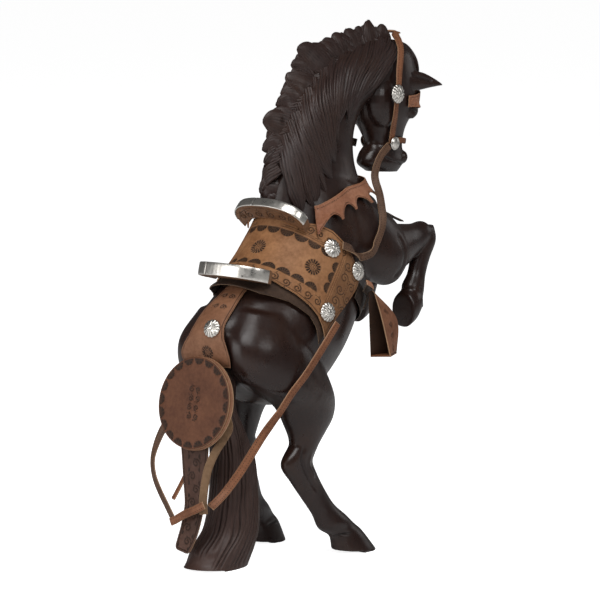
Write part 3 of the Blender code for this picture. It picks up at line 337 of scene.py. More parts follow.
class Shape:
    """A mesh in the making: places, faces and numbers kept on its points."""

    def __init__(self) -> None:
        """Starts an empty shape."""
        self.points: list[Array] = []
        self.faces: list[tuple[int, ...]] = []
        self.count = 0
        self.marks: dict[str, list[Array]] = {}

    def add(self, points: Array, faces: Sequence[tuple[int, ...]], **marks: Array) -> None:
        """Adds points and the faces between them.

        Args:
            points: Rows of places.
            faces: Faces as numbers into these points.
            marks: Numbers kept on the points, by name.
        """
        points = np.asarray(points, float).reshape(-1, 3)
        for name in set(self.marks) | set(marks):
            held = self.marks.setdefault(name, [np.zeros(self.count)] if self.count else [])
            value = np.asarray(marks.get(name, 0.0), float).ravel()
            held.append(np.broadcast_to(value, len(points)))
        self.points.append(points)
        first = self.count
        self.faces += [tuple(first + i for i in face) for face in faces]
        self.count += len(points)

    def grid(self, points: Array, wrap: bool = False, ends: bool = False, **marks: Array) -> None:
        """Adds a grid of points, with a quad in each cell.

        Args:
            points: An array of rows, columns and 3.
            wrap: Whether the last column joins the first.
            ends: Whether the first and last rows are closed by a face each.
            marks: Numbers kept on the points, by name.
        """
        rows, columns = points.shape[:2]
        index = np.arange(rows * columns).reshape(rows, columns)
        after = np.roll(index, -1, 1) if wrap else index[:, 1:]
        here = index if wrap else index[:, :-1]
        quads = np.stack([here[:-1], after[:-1], after[1:], here[1:]], -1).reshape(-1, 4)
        faces = [tuple(q) for q in quads.tolist()]
        if ends:
            faces += [tuple(index[0][::-1].tolist()), tuple(index[-1].tolist())]
        self.add(points.reshape(-1, 3), faces, **{k: np.asarray(v).ravel() for k, v in marks.items()})

    def leaf(self, inner: Array, outer: Array, underside_stain_and_shade: Optional[float] = None, **marks: Array) -> None:
        """Adds a closed sheet between two grids of the same shape.

        Args:
            inner: The grid of the under side.
            outer: The grid of the upper side.
            underside_stain_and_shade: The stain of the under side, if it has its own; on the stirrup it is
                painted shade.
            marks: Numbers kept on the points, by name.
        """
        rows, columns = inner.shape[:2]
        index = self.count + np.arange(rows * columns).reshape(rows, columns)
        total = rows * columns
        below = {name: mark for name, mark in marks.items() if name not in ("cut_edge", "burnish")}
        self.add(inner, [], **below | ({} if underside_stain_and_shade is None else {"stain": underside_stain_and_shade}))
        self.grid(outer, **marks)
        downs, acrosses = ([*range(0, n - 1, COARSE), n - 1] for n in (rows, columns))
        for (top, low), (left, right) in product(zip(downs, downs[1:]), zip(acrosses, acrosses[1:])):
            row = slice(left, right) if top == 0 else [left]
            face = list(index[top, row])
            face += list(index[top:low, right] if right == columns - 1 else index[[top], right])
            face += list(index[low, right:left:-1] if low == rows - 1 else index[low, [right]])
            face += list(index[low:top:-1, left] if left == 0 else index[[low], left])
            self.faces.append(tuple(int(i) for i in face))
        edge = np.concatenate([index[0, :-1], index[:-1, -1], index[-1, :0:-1], index[:0:-1, 0]])
        for a, b in zip(edge.tolist(), np.roll(edge, -1).tolist()):
            self.faces.append((a, b, b + total, a + total))

    def build(self, name: str, sharp: float = 40.0) -> Thing:
        """Makes the object, shaded smooth but for sharp edges.

        Args:
            name: The name of the object.
            sharp: Degrees from which an edge stays sharp.

        Returns:
            The new object, linked to the scene.
        """
        mesh = bpy.data.meshes.new(name)
        mesh.from_pydata(to_world(np.vstack(self.points)).tolist(), [], self.faces)
        for mark, values in self.marks.items():
            layer = mesh.attributes.new(mark, "FLOAT", "POINT")
            layer.data.foreach_set("value", np.concatenate(values).astype(np.float32))
        work = bmesh.new()
        work.from_mesh(mesh)
        loose = [vert for vert in work.verts if not vert.link_faces]
        bmesh.ops.delete(work, geom=loose, context="VERTS")
        bmesh.ops.recalc_face_normals(work, faces=work.faces)
        work.to_mesh(mesh)
        work.free()
        obj = linked(name, mesh)
        shade(obj, sharp)
        return obj


def shade(obj: Thing, sharp: float) -> None:
    """Shades an object smooth, apart from its sharp edges."""
    obj.data.shade_smooth()
    obj.data.set_sharp_from_angle(angle=math.radians(sharp))


def stations(table: Rows, side: float, set_back: float, steps: int, sides: int) -> Array:
    """The rings of a loft along a limb.

    Args:
        table: Its stations.
        side: 1 for the right limb and -1 for the left one.
        set_back: How much further back the foot stands.
        steps: Rings between stations.
        sides: Points in each ring.

    Returns:
        An array of rings, points and 3.
    """
    rows = smooth_rows([[*row, 1.0][:7] for row in table], steps)
    turns = around(sides)
    back, front = rows[:, None, 0:2], rows[:, None, 2:4]
    right, width, power = rows[:, None, 4], rows[:, None, 5], rows[:, None, 6]
    c = np.sign(np.cos(turns)) * np.abs(np.cos(turns)) ** power
    s = np.sign(np.sin(turns)) * np.abs(np.sin(turns)) ** power
    spot = (back + front) / 2 + (front - back) / 2 * c[..., None]
    forward = spot[..., 0] - set_back * np.clip(1 - spot[..., 1] / HOCK_HEIGHT, 0, 1) ** 2
    return np.stack([forward, side * (right + width * s), spot[..., 1]], -1)


def limb(shape: Shape, table: Rows, side: float = 1.0, set_back: float = 0.0) -> None:
    """Adds a loft along a limb to a shape."""
    shape.grid(stations(table, side, set_back, 8, 48), wrap=True, ends=True)


def blob(shape: Shape, centre: Numbers, radii: Numbers) -> None:
    """Adds a swelling of the carving.

    Args:
        shape: What it is added to.
        centre: Its middle.
        radii: Its half sizes forward, right and up.
    """
    turns, angle = around(24), math.pi * np.arange(1, 12)[:, None] / 12
    ball = (np.sin(angle) * np.cos(turns), np.sin(angle) * np.sin(turns), np.cos(angle) + 0 * turns)
    shape.grid(np.array(centre) + np.stack(ball, -1) * radii, wrap=True, ends=True)


def applied(obj: Thing) -> Thing:
    """Makes an object's modifiers part of its mesh.

    Args:
        obj: The object.

    Returns:
        The same object.
    """
    graph = bpy.context.evaluated_depsgraph_get()
    data = bpy.data.meshes.new_from_object(obj.evaluated_get(graph))
    obj.modifiers.clear()
    obj.data = data
    return obj


def fused(obj: Thing, voxel: float, smoothing: int) -> Thing:
    """Fuses the overlapping bodies of an object into one skin.

    Args:
        obj: The object.
        voxel: The size of the grid in millimetres.
        smoothing: How many times the skin is smoothed.

    Returns:
        The same object.
    """
    remesh = obj.modifiers.new("fuse", "REMESH")
    remesh.mode = "VOXEL"
    remesh.voxel_size = voxel * UNIT
    smooth = obj.modifiers.new("blend", "SMOOTH")
    smooth.factor = 0.5
    smooth.iterations = smoothing
    return applied(obj)


def merge(name: str, *objects: Thing) -> Thing:
    """One object of the meshes of several, which are removed.

    Args:
        name: The name of the new object.
        objects: The objects.

    Returns:
        The new object.
    """
    work = bmesh.new()
    for obj in objects:
        work.from_mesh(obj.data)
        bpy.data.objects.remove(obj)
    mesh = bpy.data.meshes.new(name)
    work.to_mesh(mesh)
    work.free()
    return linked(name, mesh)


def mesh_arrays(obj: Thing) -> tuple[Array, Array]:
    """The places and outward directions of an object's points.

    Args:
        obj: The object.

    Returns:
        Both as rows of (forward, right, up).
    """
    count = len(obj.data.vertices)
    spots = np.empty(count * 3)
    obj.data.vertices.foreach_get("co", spots)
    normals = np.empty(count * 3)
    obj.data.vertices.foreach_get("normal", normals)
    normals = normals.reshape(-1, 3)
    return to_places(spots.reshape(-1, 3)), np.stack([-normals[:, 1], -normals[:, 0], normals[:, 2]], 1)


def put_points(obj: Thing, places: Array) -> None:
    """Moves an object's points."""
    obj.data.vertices.foreach_set("co", to_world(places).ravel())
    obj.data.update()


def mark_points(obj: Thing, name: str, values: Array) -> None:
    """Keeps a number on each point of an object."""
    layer = obj.data.attributes.get(name) or obj.data.attributes.new(name, "FLOAT", "POINT")
    layer.data.foreach_set("value", np.asarray(values, np.float32))


def line_distance(points: Array, line: Array) -> tuple[Array, Array]:
    """How far points are from a line of straight pieces.

    Args:
        points: Rows of coordinates.
        line: The corners of the line.

    Returns:
        The distances, and the shares of the line passed there.
    """
    best = np.full(len(points), 1e9)
    at = np.zeros(len(points))
    for k, (a, b) in enumerate(zip(line[:-1], line[1:])):
        way = b - a
        t = np.clip((points - a) @ way / max(way @ way, 1e-12), 0, 1)
        far = np.linalg.norm(points - a - t[:, None] * way, axis=1)
        near = far < best
        best[near] = far[near]
        at[near] = (k + t[near]) / (len(line) - 1)
    return best, at


class Carver:
    """Cuts grooves and dents into a fine carved skin, and paints shade into the grooves."""

    def __init__(self, obj: Thing) -> None:
        """Reads the skin.

        Args:
            obj: The carved object.
        """
        self.obj = obj
        self.places, self.normals = mesh_arrays(obj)
        self.depth = np.zeros(len(self.places))
        # Painted shade for the bottom of each groove.
        self.dust = np.zeros(len(self.places))

    def groove(self, route: Rows, width: float, depth: float, dust: float = 0.0) -> None:
        """Cuts a groove, or raises a ridge where the depth is below zero.

        Args:
            route: The places the groove runs through.
            width: Its half width.
            depth: How deep it is in the middle.
            dust: How much painted shade darkens the bottom of the groove.
        """
        line = smooth_rows(route, 6)
        inside = np.where(inside_box(self.places, line, width * 3))[0]
        if not len(inside):
            return
        far, at = line_distance(self.places[inside], line)
        ends = np.clip(np.minimum(at, 1 - at) * 8, 0.15, 1)
        cut = np.exp(-((far / (width * ends)) ** 2))
        self.depth[inside] += cut * depth * ends
        self.dust[inside] = np.maximum(self.dust[inside], cut * dust)

    def finish(self) -> None:
        """Moves the points of the skin."""
        put_points(self.obj, self.places - self.normals * self.depth[:, None])
        # Keeps the painted shade of the grooves on the points.
        mark_points(self.obj, "dust", self.dust)


class Skin:
    """The outside of one or more bodies, asked for places on it."""

    def __init__(self, *bodies: Thing) -> None:
        """Reads the bodies.

        Args:
            bodies: The objects.
        """
        points: list[Vector] = []
        faces: list[list[int]] = []
        for body in bodies:
            first = len(points)
            points += [vert.co.copy() for vert in body.data.vertices]
            faces += [[first + i for i in face.vertices] for face in body.data.polygons]
        self.tree = BVHTree.FromPolygons(points, faces)

    def depth(self, start: Array, way: Array) -> float:
        """How far the skin is from a place, looking one way.

        Args:
            start: The place.
            way: The direction.

        Returns:
            Millimetres, or FAR where nothing is met.
        """
        origin = Vector(to_world(start)[0])
        ahead = Vector(to_world(np.add(start, way))[0])
        spot, _, _, far = self.tree.ray_cast(origin, (ahead - origin).normalized())
        return FAR if spot is None else far / UNIT

    def nearest(self, point: Array) -> tuple[Array, Array]:
        """The nearest place on the skin."""
        spot, face, _, _ = self.tree.find_nearest(Vector(to_world(point)[0]))
        return to_places(np.array(spot))[0], np.array((-face[1], -face[0], face[2]))


def tilted(angle: float) -> tuple[Array, Array]:
    """The ways forward and up, turned up to the front by an angle."""
    cos, sin = math.cos(angle), math.sin(angle)
    return np.array((cos, 0.0, sin)), np.array((-sin, 0.0, cos))


def about_axis(along: Array, degrees: Array, reach: Array) -> Array:
    """Places round the line through the trunk.

    Args:
        along: Millimetres along the line.
        degrees: The turn from the back, to the right.
        reach: Millimetres from the line.

    Returns:
        The places, with 3 as the last size.
    """
    along, degrees, reach = np.broadcast_arrays(*(np.asarray(x, float) for x in (along, degrees, reach)))
    turn = np.radians(degrees)
    tilt, back = tilted(AXIS_TILT)
    start = np.array((AXIS_AT[0], 0.0, AXIS_AT[1]))
    out = back * np.cos(turn)[..., None] + SIDEWAYS * np.sin(turn)[..., None]
    return start + tilt * along[..., None] + out * reach[..., None]


class Trunk:
    """How far the skin stands from the trunk line, closed over small hollows."""

    STEP = 2.0
    TURN = 4.0

    def __init__(self, skin: Skin) -> None:
        """Measures the skin from outside.

        Args:
            skin: The skin of the horse.
        """
        self.along = np.arange(-110.0, 36.0, self.STEP)
        self.turn = np.arange(-180.0, 181.0, self.TURN)
        reach = np.empty((len(self.along), len(self.turn)))
        for i, s in enumerate(self.along):
            for j, t in enumerate(self.turn):
                start = about_axis(s, t, 110.0)
                reach[i, j] = 110.0 - min(skin.depth(start, about_axis(s, t, 0.0) - start), 110.0)
        wide = reach.copy()
        for i, j in product((-1, 0, 1), (-1, 0, 1)):
            wide = np.maximum(wide, np.roll(np.roll(reach, i, 0), j, 1))
        wide[0], wide[-1] = reach[0], reach[-1]
        for _ in range(3):
            wide = (wide * 2 + np.roll(wide, 1, 1) + np.roll(wide, -1, 1)) / 4
            wide[1:-1] = (wide[1:-1] * 2 + wide[2:] + wide[:-2]) / 4
        self.reach = wide

    def place(self, along: Array, degrees: Array, lift: Array) -> Array:
        """Places on the trunk.

        Args:
            along: Millimetres along the trunk line.
            degrees: The turn from the back, to the right.
            lift: Millimetres off the skin.

        Returns:
            The places, with 3 as the last size.
        """
        along, degrees, lift = np.broadcast_arrays(*(np.asarray(x, float) for x in (along, degrees, lift)))
        reach = between(self.reach, (along - self.along[0]) / self.STEP, (degrees + 180.0) / self.TURN)
        return about_axis(along, degrees, reach + lift)


class NodeBench:
    """Short ways to add and join shader nodes."""

    def __init__(self, tree: Tree) -> None:
        """Takes a node tree."""
        self.tree = tree
        self.shader = tree.nodes.get("Principled BSDF")

    def feed(self, socket: Socket, value: object) -> None:
        """Sets what goes into a socket.

        Args:
            socket: The socket.
            value: A number, a colour of three parts, or a socket to link.
        """
        if isinstance(value, Socket):
            self.tree.links.new(value, socket)
        else:
            socket.default_value = (*value, 1.0) if socket.type == "RGBA" else value

    def node(self, kind: str, inputs: Optional[dict] = None, **settings: object) -> bpy.types.Node:
        """Adds a node.

        Args:
            kind: The type of node.
            inputs: What goes into its inputs.
            settings: Properties of the node.

        Returns:
            The node.
        """
        made = self.tree.nodes.new(kind)
        for key, value in settings.items():
            setattr(made, key, value)
        for key, value in (inputs or {}).items():
            self.feed(made.inputs[key], value)
        return made

    def math(self, operation: str, *values: object, clamp: bool = False) -> Socket:
        """The result of an operation on some values, kept between 0 and 1 where it is clamped."""
        settings = {"operation": operation, "use_clamp": clamp}
        return self.node("ShaderNodeMath", dict(enumerate(values)), **settings).outputs[0]

    def times(self, first: object, second: object, clamp: bool = False) -> Socket:
        """The product of two values."""
        return self.math("MULTIPLY", first, second, clamp=clamp)

    def plus(self, first: object, second: object, clamp: bool = False) -> Socket:
        """The sum of two values."""
        return self.math("ADD", first, second, clamp=clamp)

    def mix(self, share: object, first: object, second: object) -> Socket:
        """The first colour with a share of the second."""
        inputs = {0: share, 6: first, 7: second}
        return self.node("ShaderNodeMix", inputs, data_type="RGBA").outputs[2]

    def noise(self, scale: float, detail: float, rough: float, spot: Optional[Socket] = None) -> Socket:
        """Noise with some lumps to a metre and finer layers, on the object's own coordinates or others."""
        inputs = {"Vector": spot or self.coordinates(), "Scale": scale, "Detail": detail, "Roughness": rough}
        return self.node("ShaderNodeTexNoise", inputs).outputs["Fac"]

    def coordinates(self, scale: Optional[Numbers] = None) -> Socket:
        """The object's own coordinates, stretched where a scale is given."""
        spot = self.node("ShaderNodeTexCoord").outputs["Object"]
        return self.node("ShaderNodeMapping", {"Vector": spot, "Scale": scale}).outputs[0] if scale else spot

    def mark(self, name: str) -> Socket:
        """A number kept on the points of the mesh."""
        return self.node("ShaderNodeAttribute", attribute_name=name).outputs["Fac"]

    def spread(self, value: object, low: float, high: float, start: float = 0.0, end: float = 1.0) -> Socket:
        """Values from low to high brought to values from start to end."""
        inputs = {0: value, 1: low, 2: high, 3: start, 4: end}
        return self.node("ShaderNodeMapRange", inputs, clamp=True).outputs[0]

    def bump(self, height: Socket, strength: float, distance: float, **normal: Socket) -> Socket:
        """A normal bumped by a height of some metres, built on Normal where that is given."""
        inputs = {"Strength": strength, "Distance": distance, "Height": height, **normal}
        return self.node("ShaderNodeBump", inputs).outputs[0]

    def set(self, **values: object) -> None:
        """Sets the shader's own inputs, by name with _ for a space."""
        for key, value in values.items():
            self.feed(self.shader.inputs[key.replace("_", " ")], value)


def shared_group(name: str, inputs: dict[str, float], outputs: Sequence[str], wire: Callable) -> Tree:
    """A node group made once and used by several materials.

    Args:
        name: The name of the group.
        inputs: The first value of each input.
        outputs: The names of its outputs.
        wire: Returns the output sockets, from (bench, input sockets).

    Returns:
        The group.
    """
    found = bpy.data.node_groups.get(name)
    if found:
        return found
    tree = bpy.data.node_groups.new(name, "ShaderNodeTree")
    for key, value in inputs.items():
        socket = tree.interface.new_socket(key, in_out="INPUT", socket_type="NodeSocketFloat")
        socket.default_value = value
    for key in outputs:
        tree.interface.new_socket(key, in_out="OUTPUT", socket_type="NodeSocketFloat")
    entry, leave = tree.nodes.new("NodeGroupInput"), tree.nodes.new("NodeGroupOutput")
    for key, socket in wire(NodeBench(tree), entry.outputs).items():
        tree.links.new(socket, leave.inputs[key])
    return tree


def wire_grain(bench: NodeBench, given: Sequence[Socket]) -> dict[str, Socket]:
    """Joins up the pebbled grain and the blotches of leather.

    Args:
        bench: The node tree of the group.
        given: Its inputs, not used here.

    Returns:
        The sockets of its outputs.
    """
    cells = bench.node(
        "ShaderNodeTexVoronoi", {"Vector": bench.coordinates(), "Scale": 1100.0}, feature="SMOOTH_F1"
    )
    pebbles = bench.times(cells.outputs["Distance"], 0.7)
    clouds = bench.times(bench.noise(60.0, 4.0, 0.6), 0.6)
    return {
        "Height": bench.plus(pebbles, bench.times(bench.noise(2600.0, 4.0, 0.6), 0.5)),
        "Blotch": bench.plus(clouds, bench.times(bench.noise(420.0, 3.0, 0.6), 0.4)),
    }


def wire_stitches(bench: NodeBench, given: Sequence[Socket]) -> dict[str, Socket]:
    """Joins up the small dots that run beside both edges of a strap.

    Args:
        bench: The node tree of the group.
        given: Its inputs.

    Returns:
        The socket of its output.
    """
    cycle = bench.math("FRACT", bench.math("DIVIDE", given["Along"], given["Pitch"]))
    step = bench.times(bench.math("ABSOLUTE", bench.math("SUBTRACT", cycle, 0.5)), given["Pitch"])
    off = bench.math("SUBTRACT", bench.math("ABSOLUTE", given["Across"]), given["From middle"])
    a = bench.math("DIVIDE", step, given["Length"])
    b = bench.math("DIVIDE", bench.math("ABSOLUTE", off), given["Width"])
    far = bench.math("SQRT", bench.plus(bench.times(a, a), bench.times(b, b)))
    return {"Mask": bench.spread(far, 0.7, 1.25, 1.0, 0.0)}


class Finish:
    """A material made once from shader nodes. Each kind of surface is one such class."""

    name: str = "plain"
    slot: str = "stained_wood"

    def material(self) -> bpy.types.Material:
        """Makes the material the first time it is asked for.

        Returns:
            The material.
        """
        found = bpy.data.materials.get(self.name)
        if found:
            return found
        made = bpy.data.materials.new(self.name)
        made.use_nodes = True
        self.wire(NodeBench(made.node_tree))
        return made

    def wire(self, bench: NodeBench) -> None:
        """Joins up the nodes of the material."""
        raise NotImplementedError


@dataclass(frozen=True)
class Wood(Finish):
    """Dark stained wood, polished, with painted shade in its grooves."""

    name: str = "carved_wood"
    slot: str = "stained_wood"
    colour: tuple = (0.019, 0.0088, 0.0070)
    warm: tuple = (0.038, 0.0165, 0.0095)
    deep: tuple = (0.005, 0.003, 0.0026)
    roughness: float = 0.29
    shine: float = 0.38

    def wire(self, bench: NodeBench) -> None:
        """Joins up the nodes.

        Args:
            bench: The node tree.
        """
        grain = bench.noise(900.0, 3.0, 0.6, bench.coordinates((1.0, 1.0, 0.08)))
        # This mark is painted shade in the grooves and between the strands, which it also makes a little
        # rougher.
        dust = bench.mark("dust")
        clouds = bench.spread(bench.noise(26.0, 4.0, 0.6), 0.42, 0.75, 0.0, 0.75)
        colour = bench.mix(clouds, self.colour, self.warm)
        colour = bench.mix(bench.spread(grain, 0.35, 0.8, 0.0, 0.35), colour, self.deep)
        # Painted shade darkens the grooves.
        colour = bench.mix(bench.times(dust, 0.8, clamp=True), colour, self.deep)
        pores = bench.bump(grain, 0.25, 0.0001)
        normal = bench.bump(bench.noise(170.0, 2.0, 0.5), 0.3, 0.0006, Normal=pores)
        worn = bench.noise(75.0, 4.0, 0.65)
        wear = bench.spread(worn, 0.3, 0.75, self.roughness - 0.05, self.roughness + 0.12)
        rough = bench.plus(wear, bench.times(dust, 0.25), clamp=True)
        bench.set(Base_Color=colour, Roughness=rough, Normal=normal, Specular_IOR_Level=self.shine)


@dataclass(frozen=True)
class Leather(Finish):
    """Vegetable tanned leather with dark stain in its stamps and burnished edges."""

    name: str = "tooled_leather"
    slot: str = "saddle_leather"
    colour: tuple = (0.33, 0.158, 0.068)
    deep: tuple = (0.175, 0.074, 0.029)
    stain: tuple = (0.018, 0.009, 0.005)
    pale: tuple = (0.42, 0.26, 0.15)
    roughness: float = 0.55
    stitches: Optional[tuple[float, float, float, float]] = None
    grain: float = 0.35

    def wire(self, bench: NodeBench) -> None:
        """Joins up the nodes.

        Args:
            bench: The node tree.
        """
        tree = shared_group("leather_grain", {}, ("Height", "Blotch"), wire_grain)
        grain = bench.node("ShaderNodeGroup", node_tree=tree)
        blotch = grain.outputs["Blotch"]
        colour = bench.mix(bench.spread(blotch, 0.36, 0.66), self.colour, self.deep)
        colour = bench.mix(bench.times(bench.mark("burnish"), 0.7, clamp=True), colour, self.deep)
        stain = bench.mark("stain")
        if self.stitches:
            inputs = dict(zip(("Pitch", "From middle", "Length", "Width"), self.stitches))
            inputs |= {"Along": bench.mark("along"), "Across": bench.mark("across")}
            tree = shared_group("stitch_line", dict.fromkeys(inputs, 1.0), ("Mask",), wire_stitches)
            dots = bench.node("ShaderNodeGroup", inputs, node_tree=tree)
            stain = bench.math("MAXIMUM", stain, bench.times(dots.outputs["Mask"], 0.85))
        patchy = bench.times(stain, bench.spread(blotch, 0.3, 0.7, 1.25, 0.95), clamp=True)
        colour = bench.mix(patchy, colour, self.stain)
        colour = bench.mix(bench.mark("cut_edge"), colour, self.pale)
        height = bench.math("SUBTRACT", grain.outputs["Height"], bench.times(stain, 1.5))
        wear = bench.spread(blotch, 0.3, 0.7, self.roughness - 0.06, self.roughness + 0.1)
        rough = bench.plus(wear, bench.times(stain, 0.15), clamp=True)
        normal = bench.bump(height, self.grain, 0.00012)
        bench.set(Base_Color=colour, Roughness=rough, Normal=normal, Specular_IOR_Level=0.28)


@dataclass(frozen=True)
class StrapLeather(Leather):
    """Plain strap leather, tooled where a pattern is pressed into it."""

    slot: str = "strap_leather"


@dataclass(frozen=True)
class PaleLeather(Leather):
    """Pale leather of the collar and the brow band."""

    slot: str = "collar_leather"


@dataclass(frozen=True)
class DarkLeather(Leather):
    """Rough dark leather with paler cut edges."""

    slot: str = "dark_leather"
    pale: tuple = (0.13, 0.085, 0.055)


@dataclass(frozen=True)
class Silver(Finish):
    """Bright metal with fine scratches and dark in its hollows."""

    name: str = "bright_silver"
    slot: str = "silver_metal"
    colour: tuple = (0.72, 0.69, 0.64)
    tarnish: tuple = (0.08, 0.066, 0.054)
    roughness: float = 0.3

    def wire(self, bench: NodeBench) -> None:
        """Joins up the nodes.

        Args:
            bench: The node tree.
        """
        cloud = bench.noise(300.0, 4.0, 0.6)
        hollows = bench.times(bench.mark("stain"), 0.9, clamp=True)
        colour = bench.mix(hollows, self.colour, self.tarnish)
        colour = bench.mix(bench.spread(cloud, 0.5, 0.8, 0.0, 0.25), colour, self.tarnish)
        scratch = bench.noise(3000.0, 2.0, 0.5, bench.coordinates((0.15, 1.0, 1.0)))
        rough = bench.spread(cloud, 0.3, 0.75, self.roughness - 0.05, self.roughness + 0.14)
        bench.set(Base_Color=colour, Metallic=1.0, Roughness=rough, Normal=bench.bump(scratch, 0.03, 0.00005))


@dataclass(frozen=True)
class Paper(Finish):
    """White paper that glows a little for the camera, so that the ground stays pale."""

    name: str = "white_paper"
    glow: float = 0.9

    def wire(self, bench: NodeBench) -> None:
        """Joins up the nodes.

        Args:
            bench: The node tree.
        """
        rays = bench.node("ShaderNodeLightPath").outputs["Is Camera Ray"]
        white = (1.0, 1.0, 1.0)
        bench.set(Base_Color=(0.93, 0.93, 0.93), Roughness=0.9, Specular_IOR_Level=0.1)
        bench.set(Emission_Color=white, Emission_Strength=bench.times(rays, self.glow))


STITCHES = (1.9, 1.35, 0.45, 0.28)
WOOD = Wood()
HAIR_WOOD = Wood("carved_hair", colour=(0.034, 0.019, 0.0165), roughness=0.38, shine=0.32)
TAIL_WOOD = Wood("carved_tail", colour=(0.060, 0.033, 0.027), roughness=0.45, shine=0.3)
SADDLE = Leather("tooled_seat")
BOARD = Leather("tooled_board", colour=(0.20, 0.10, 0.05), deep=(0.10, 0.045, 0.02))
CRUPPER = StrapLeather("tooled_crupper", colour=(0.235, 0.110, 0.058), deep=(0.135, 0.056, 0.028))
STRAP = StrapLeather(
    "stitched_strap", colour=(0.24, 0.098, 0.046), deep=(0.13, 0.046, 0.02), stitches=STITCHES
)
WORN = StrapLeather("worn_strap", colour=(0.125, 0.066, 0.039), deep=(0.062, 0.030, 0.017), stitches=STITCHES)
DISC = StrapLeather("tooled_disc", colour=(0.125, 0.046, 0.020), deep=(0.070, 0.024, 0.011))
HANGING = StrapLeather("tooled_hanging_strap", colour=(0.080, 0.036, 0.023), deep=(0.042, 0.018, 0.011))
PALE = PaleLeather("pink_tan_leather", colour=(0.36, 0.165, 0.095), deep=(0.21, 0.078, 0.038), roughness=0.5)
SUEDE = PaleLeather("suede", colour=(0.20, 0.12, 0.066), deep=(0.12, 0.068, 0.036), roughness=0.8)
DARK = DarkLeather("rough_dark_leather", colour=(0.045, 0.030, 0.022), deep=(0.02, 0.012, 0.009))
SKIRT = DarkLeather(
    "rough_skirt",
    colour=(0.060, 0.034, 0.021),
    deep=(0.026, 0.014, 0.009),
    pale=(0.20, 0.125, 0.075),
    roughness=0.7,
)
SILVER = Silver()


def dress(obj: Thing, finish: Finish, *nodes: str) -> Thing:
    """Gives a piece its finish, hides the plain nodes it replaces and hangs it on the root.

    Args:
        obj: The piece.
        finish: Its finish.
        nodes: The plain nodes it replaces, if not the one it is named for.

    Returns:
        The piece.
    """
    nodes = nodes or (obj.name.split(".")[0],)
    obj.data.materials.clear()
    obj.data.materials.append(finish.material())
    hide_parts(*nodes)
    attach(obj, "root")
    return obj


def neck_place(along: float, degrees: float, lift: float) -> tuple[Array, Array]:
    """A place on the neck and the way it faces.

    Args:
        along: From 0 at the withers to 1 at the poll.
        degrees: The turn from the crest, to the right.
        lift: Millimetres off the neck.

    Returns:
        The place and the direction.
    """
    rows = np.array([(*row[:4], row[5]) for row in NECK], float)
    at = min(max(along, -0.05), 1.0) * (len(rows) - 1)
    i = int(min(max(math.floor(at), 0), len(rows) - 2))
    bf, bu, ff, fu, width = rows[i] + (at - i) * (rows[i + 1] - rows[i])
    centre = np.array(((bf + ff) / 2, 0.0, (bu + fu) / 2))
    back = np.array((bf - ff, 0.0, bu - fu)) / 2
    turn = math.radians(degrees)
    face = unit(math.cos(turn) * back / np.linalg.norm(back) ** 2 + math.sin(turn) * SIDEWAYS / width)
    return centre + math.cos(turn) * back + math.sin(turn) * SIDEWAYS * width + face * lift, face


def left_leg(table: Rows) -> list:
    """The stations of the left hind leg, slimmer in front under the haunch than the right one."""
    trims = (LEFT_LEG_TRIM * max(0.0, 1 - abs(row[3] - 98) / 24) for row in table)
    return [(*row[:2], row[2] - trim, *row[3:]) for row, trim in zip(table, trims)]


@dataclass
class HairStyle:
    """How locks of hair are cut."""

    pitch: float = 2.5
    cut: float = 1.5
    steps: int = 5
    sides: int = 54

    def lock(
        self,
        shape: Shape,
        path: Rows,
        widths: Numbers,
        depths: Numbers,
        faces: Rows,
        seed: float = 0.0,
        both: bool = False,
    ) -> None:
        """Adds a lock with strands cut along it.

        Args:
            shape: What it is added to.
            path: The places its middle runs through.
            widths: Half widths at those places.
            depths: Half thicknesses at those places.
            faces: The way the lock faces at those places.
            seed: Shifts the strands.
            both: Whether its under side shows as well.
        """
        rows = smooth_rows([[*p, w, d, *n] for p, w, d, n in zip(path, widths, depths, faces)], self.steps)
        centre = rows[:, :3]
        out, across = ways(centre, rows[:, 5:8])
        widest = max(widths)
        turns = around(self.sides)
        if not both:
            front = np.linspace(-0.25, math.pi + 0.25, self.sides * 5 // 6)
            turns = np.concatenate([front, np.linspace(math.pi + 0.6, 2 * math.pi - 0.6, 5)])
        strands = max(3, round(2 * widest / self.pitch))
        run = np.linspace(0, 1, len(rows))[:, None]
        wobble = 0.42 * np.sin(run * 5.0 + seed) + 0.2 * np.sin(run * 11.0 + 2 * seed)
        spread = (1 - np.cos(turns[None, :])) / 2 * np.where(np.sin(turns[None, :]) < 0, -1.0, 1.0)
        crest = np.abs(np.sin(math.pi * (spread * strands + wobble + seed)))
        deep = 0.72 + 0.28 * np.sin(spread * 9.0 + seed * 2.1 + run * 3.0)
        cut = self.cut * np.clip(rows[:, 3:4] / widest, 0.1, 1) * (1 - crest**0.8) * deep
        wide = np.maximum(rows[:, 3:4] - cut * 0.6, 0.1) * np.cos(turns)
        thick = np.maximum(rows[:, 4:5] - cut, 0.1) * np.sin(turns)
        points = centre[:, None] + across[:, None] * wide[..., None] + out[:, None] * thick[..., None]
        # Painted shade darkens the valleys between the strands.
        shape.grid(points, wrap=True, ends=True, dust=(1 - crest) ** 1.5 * deep)


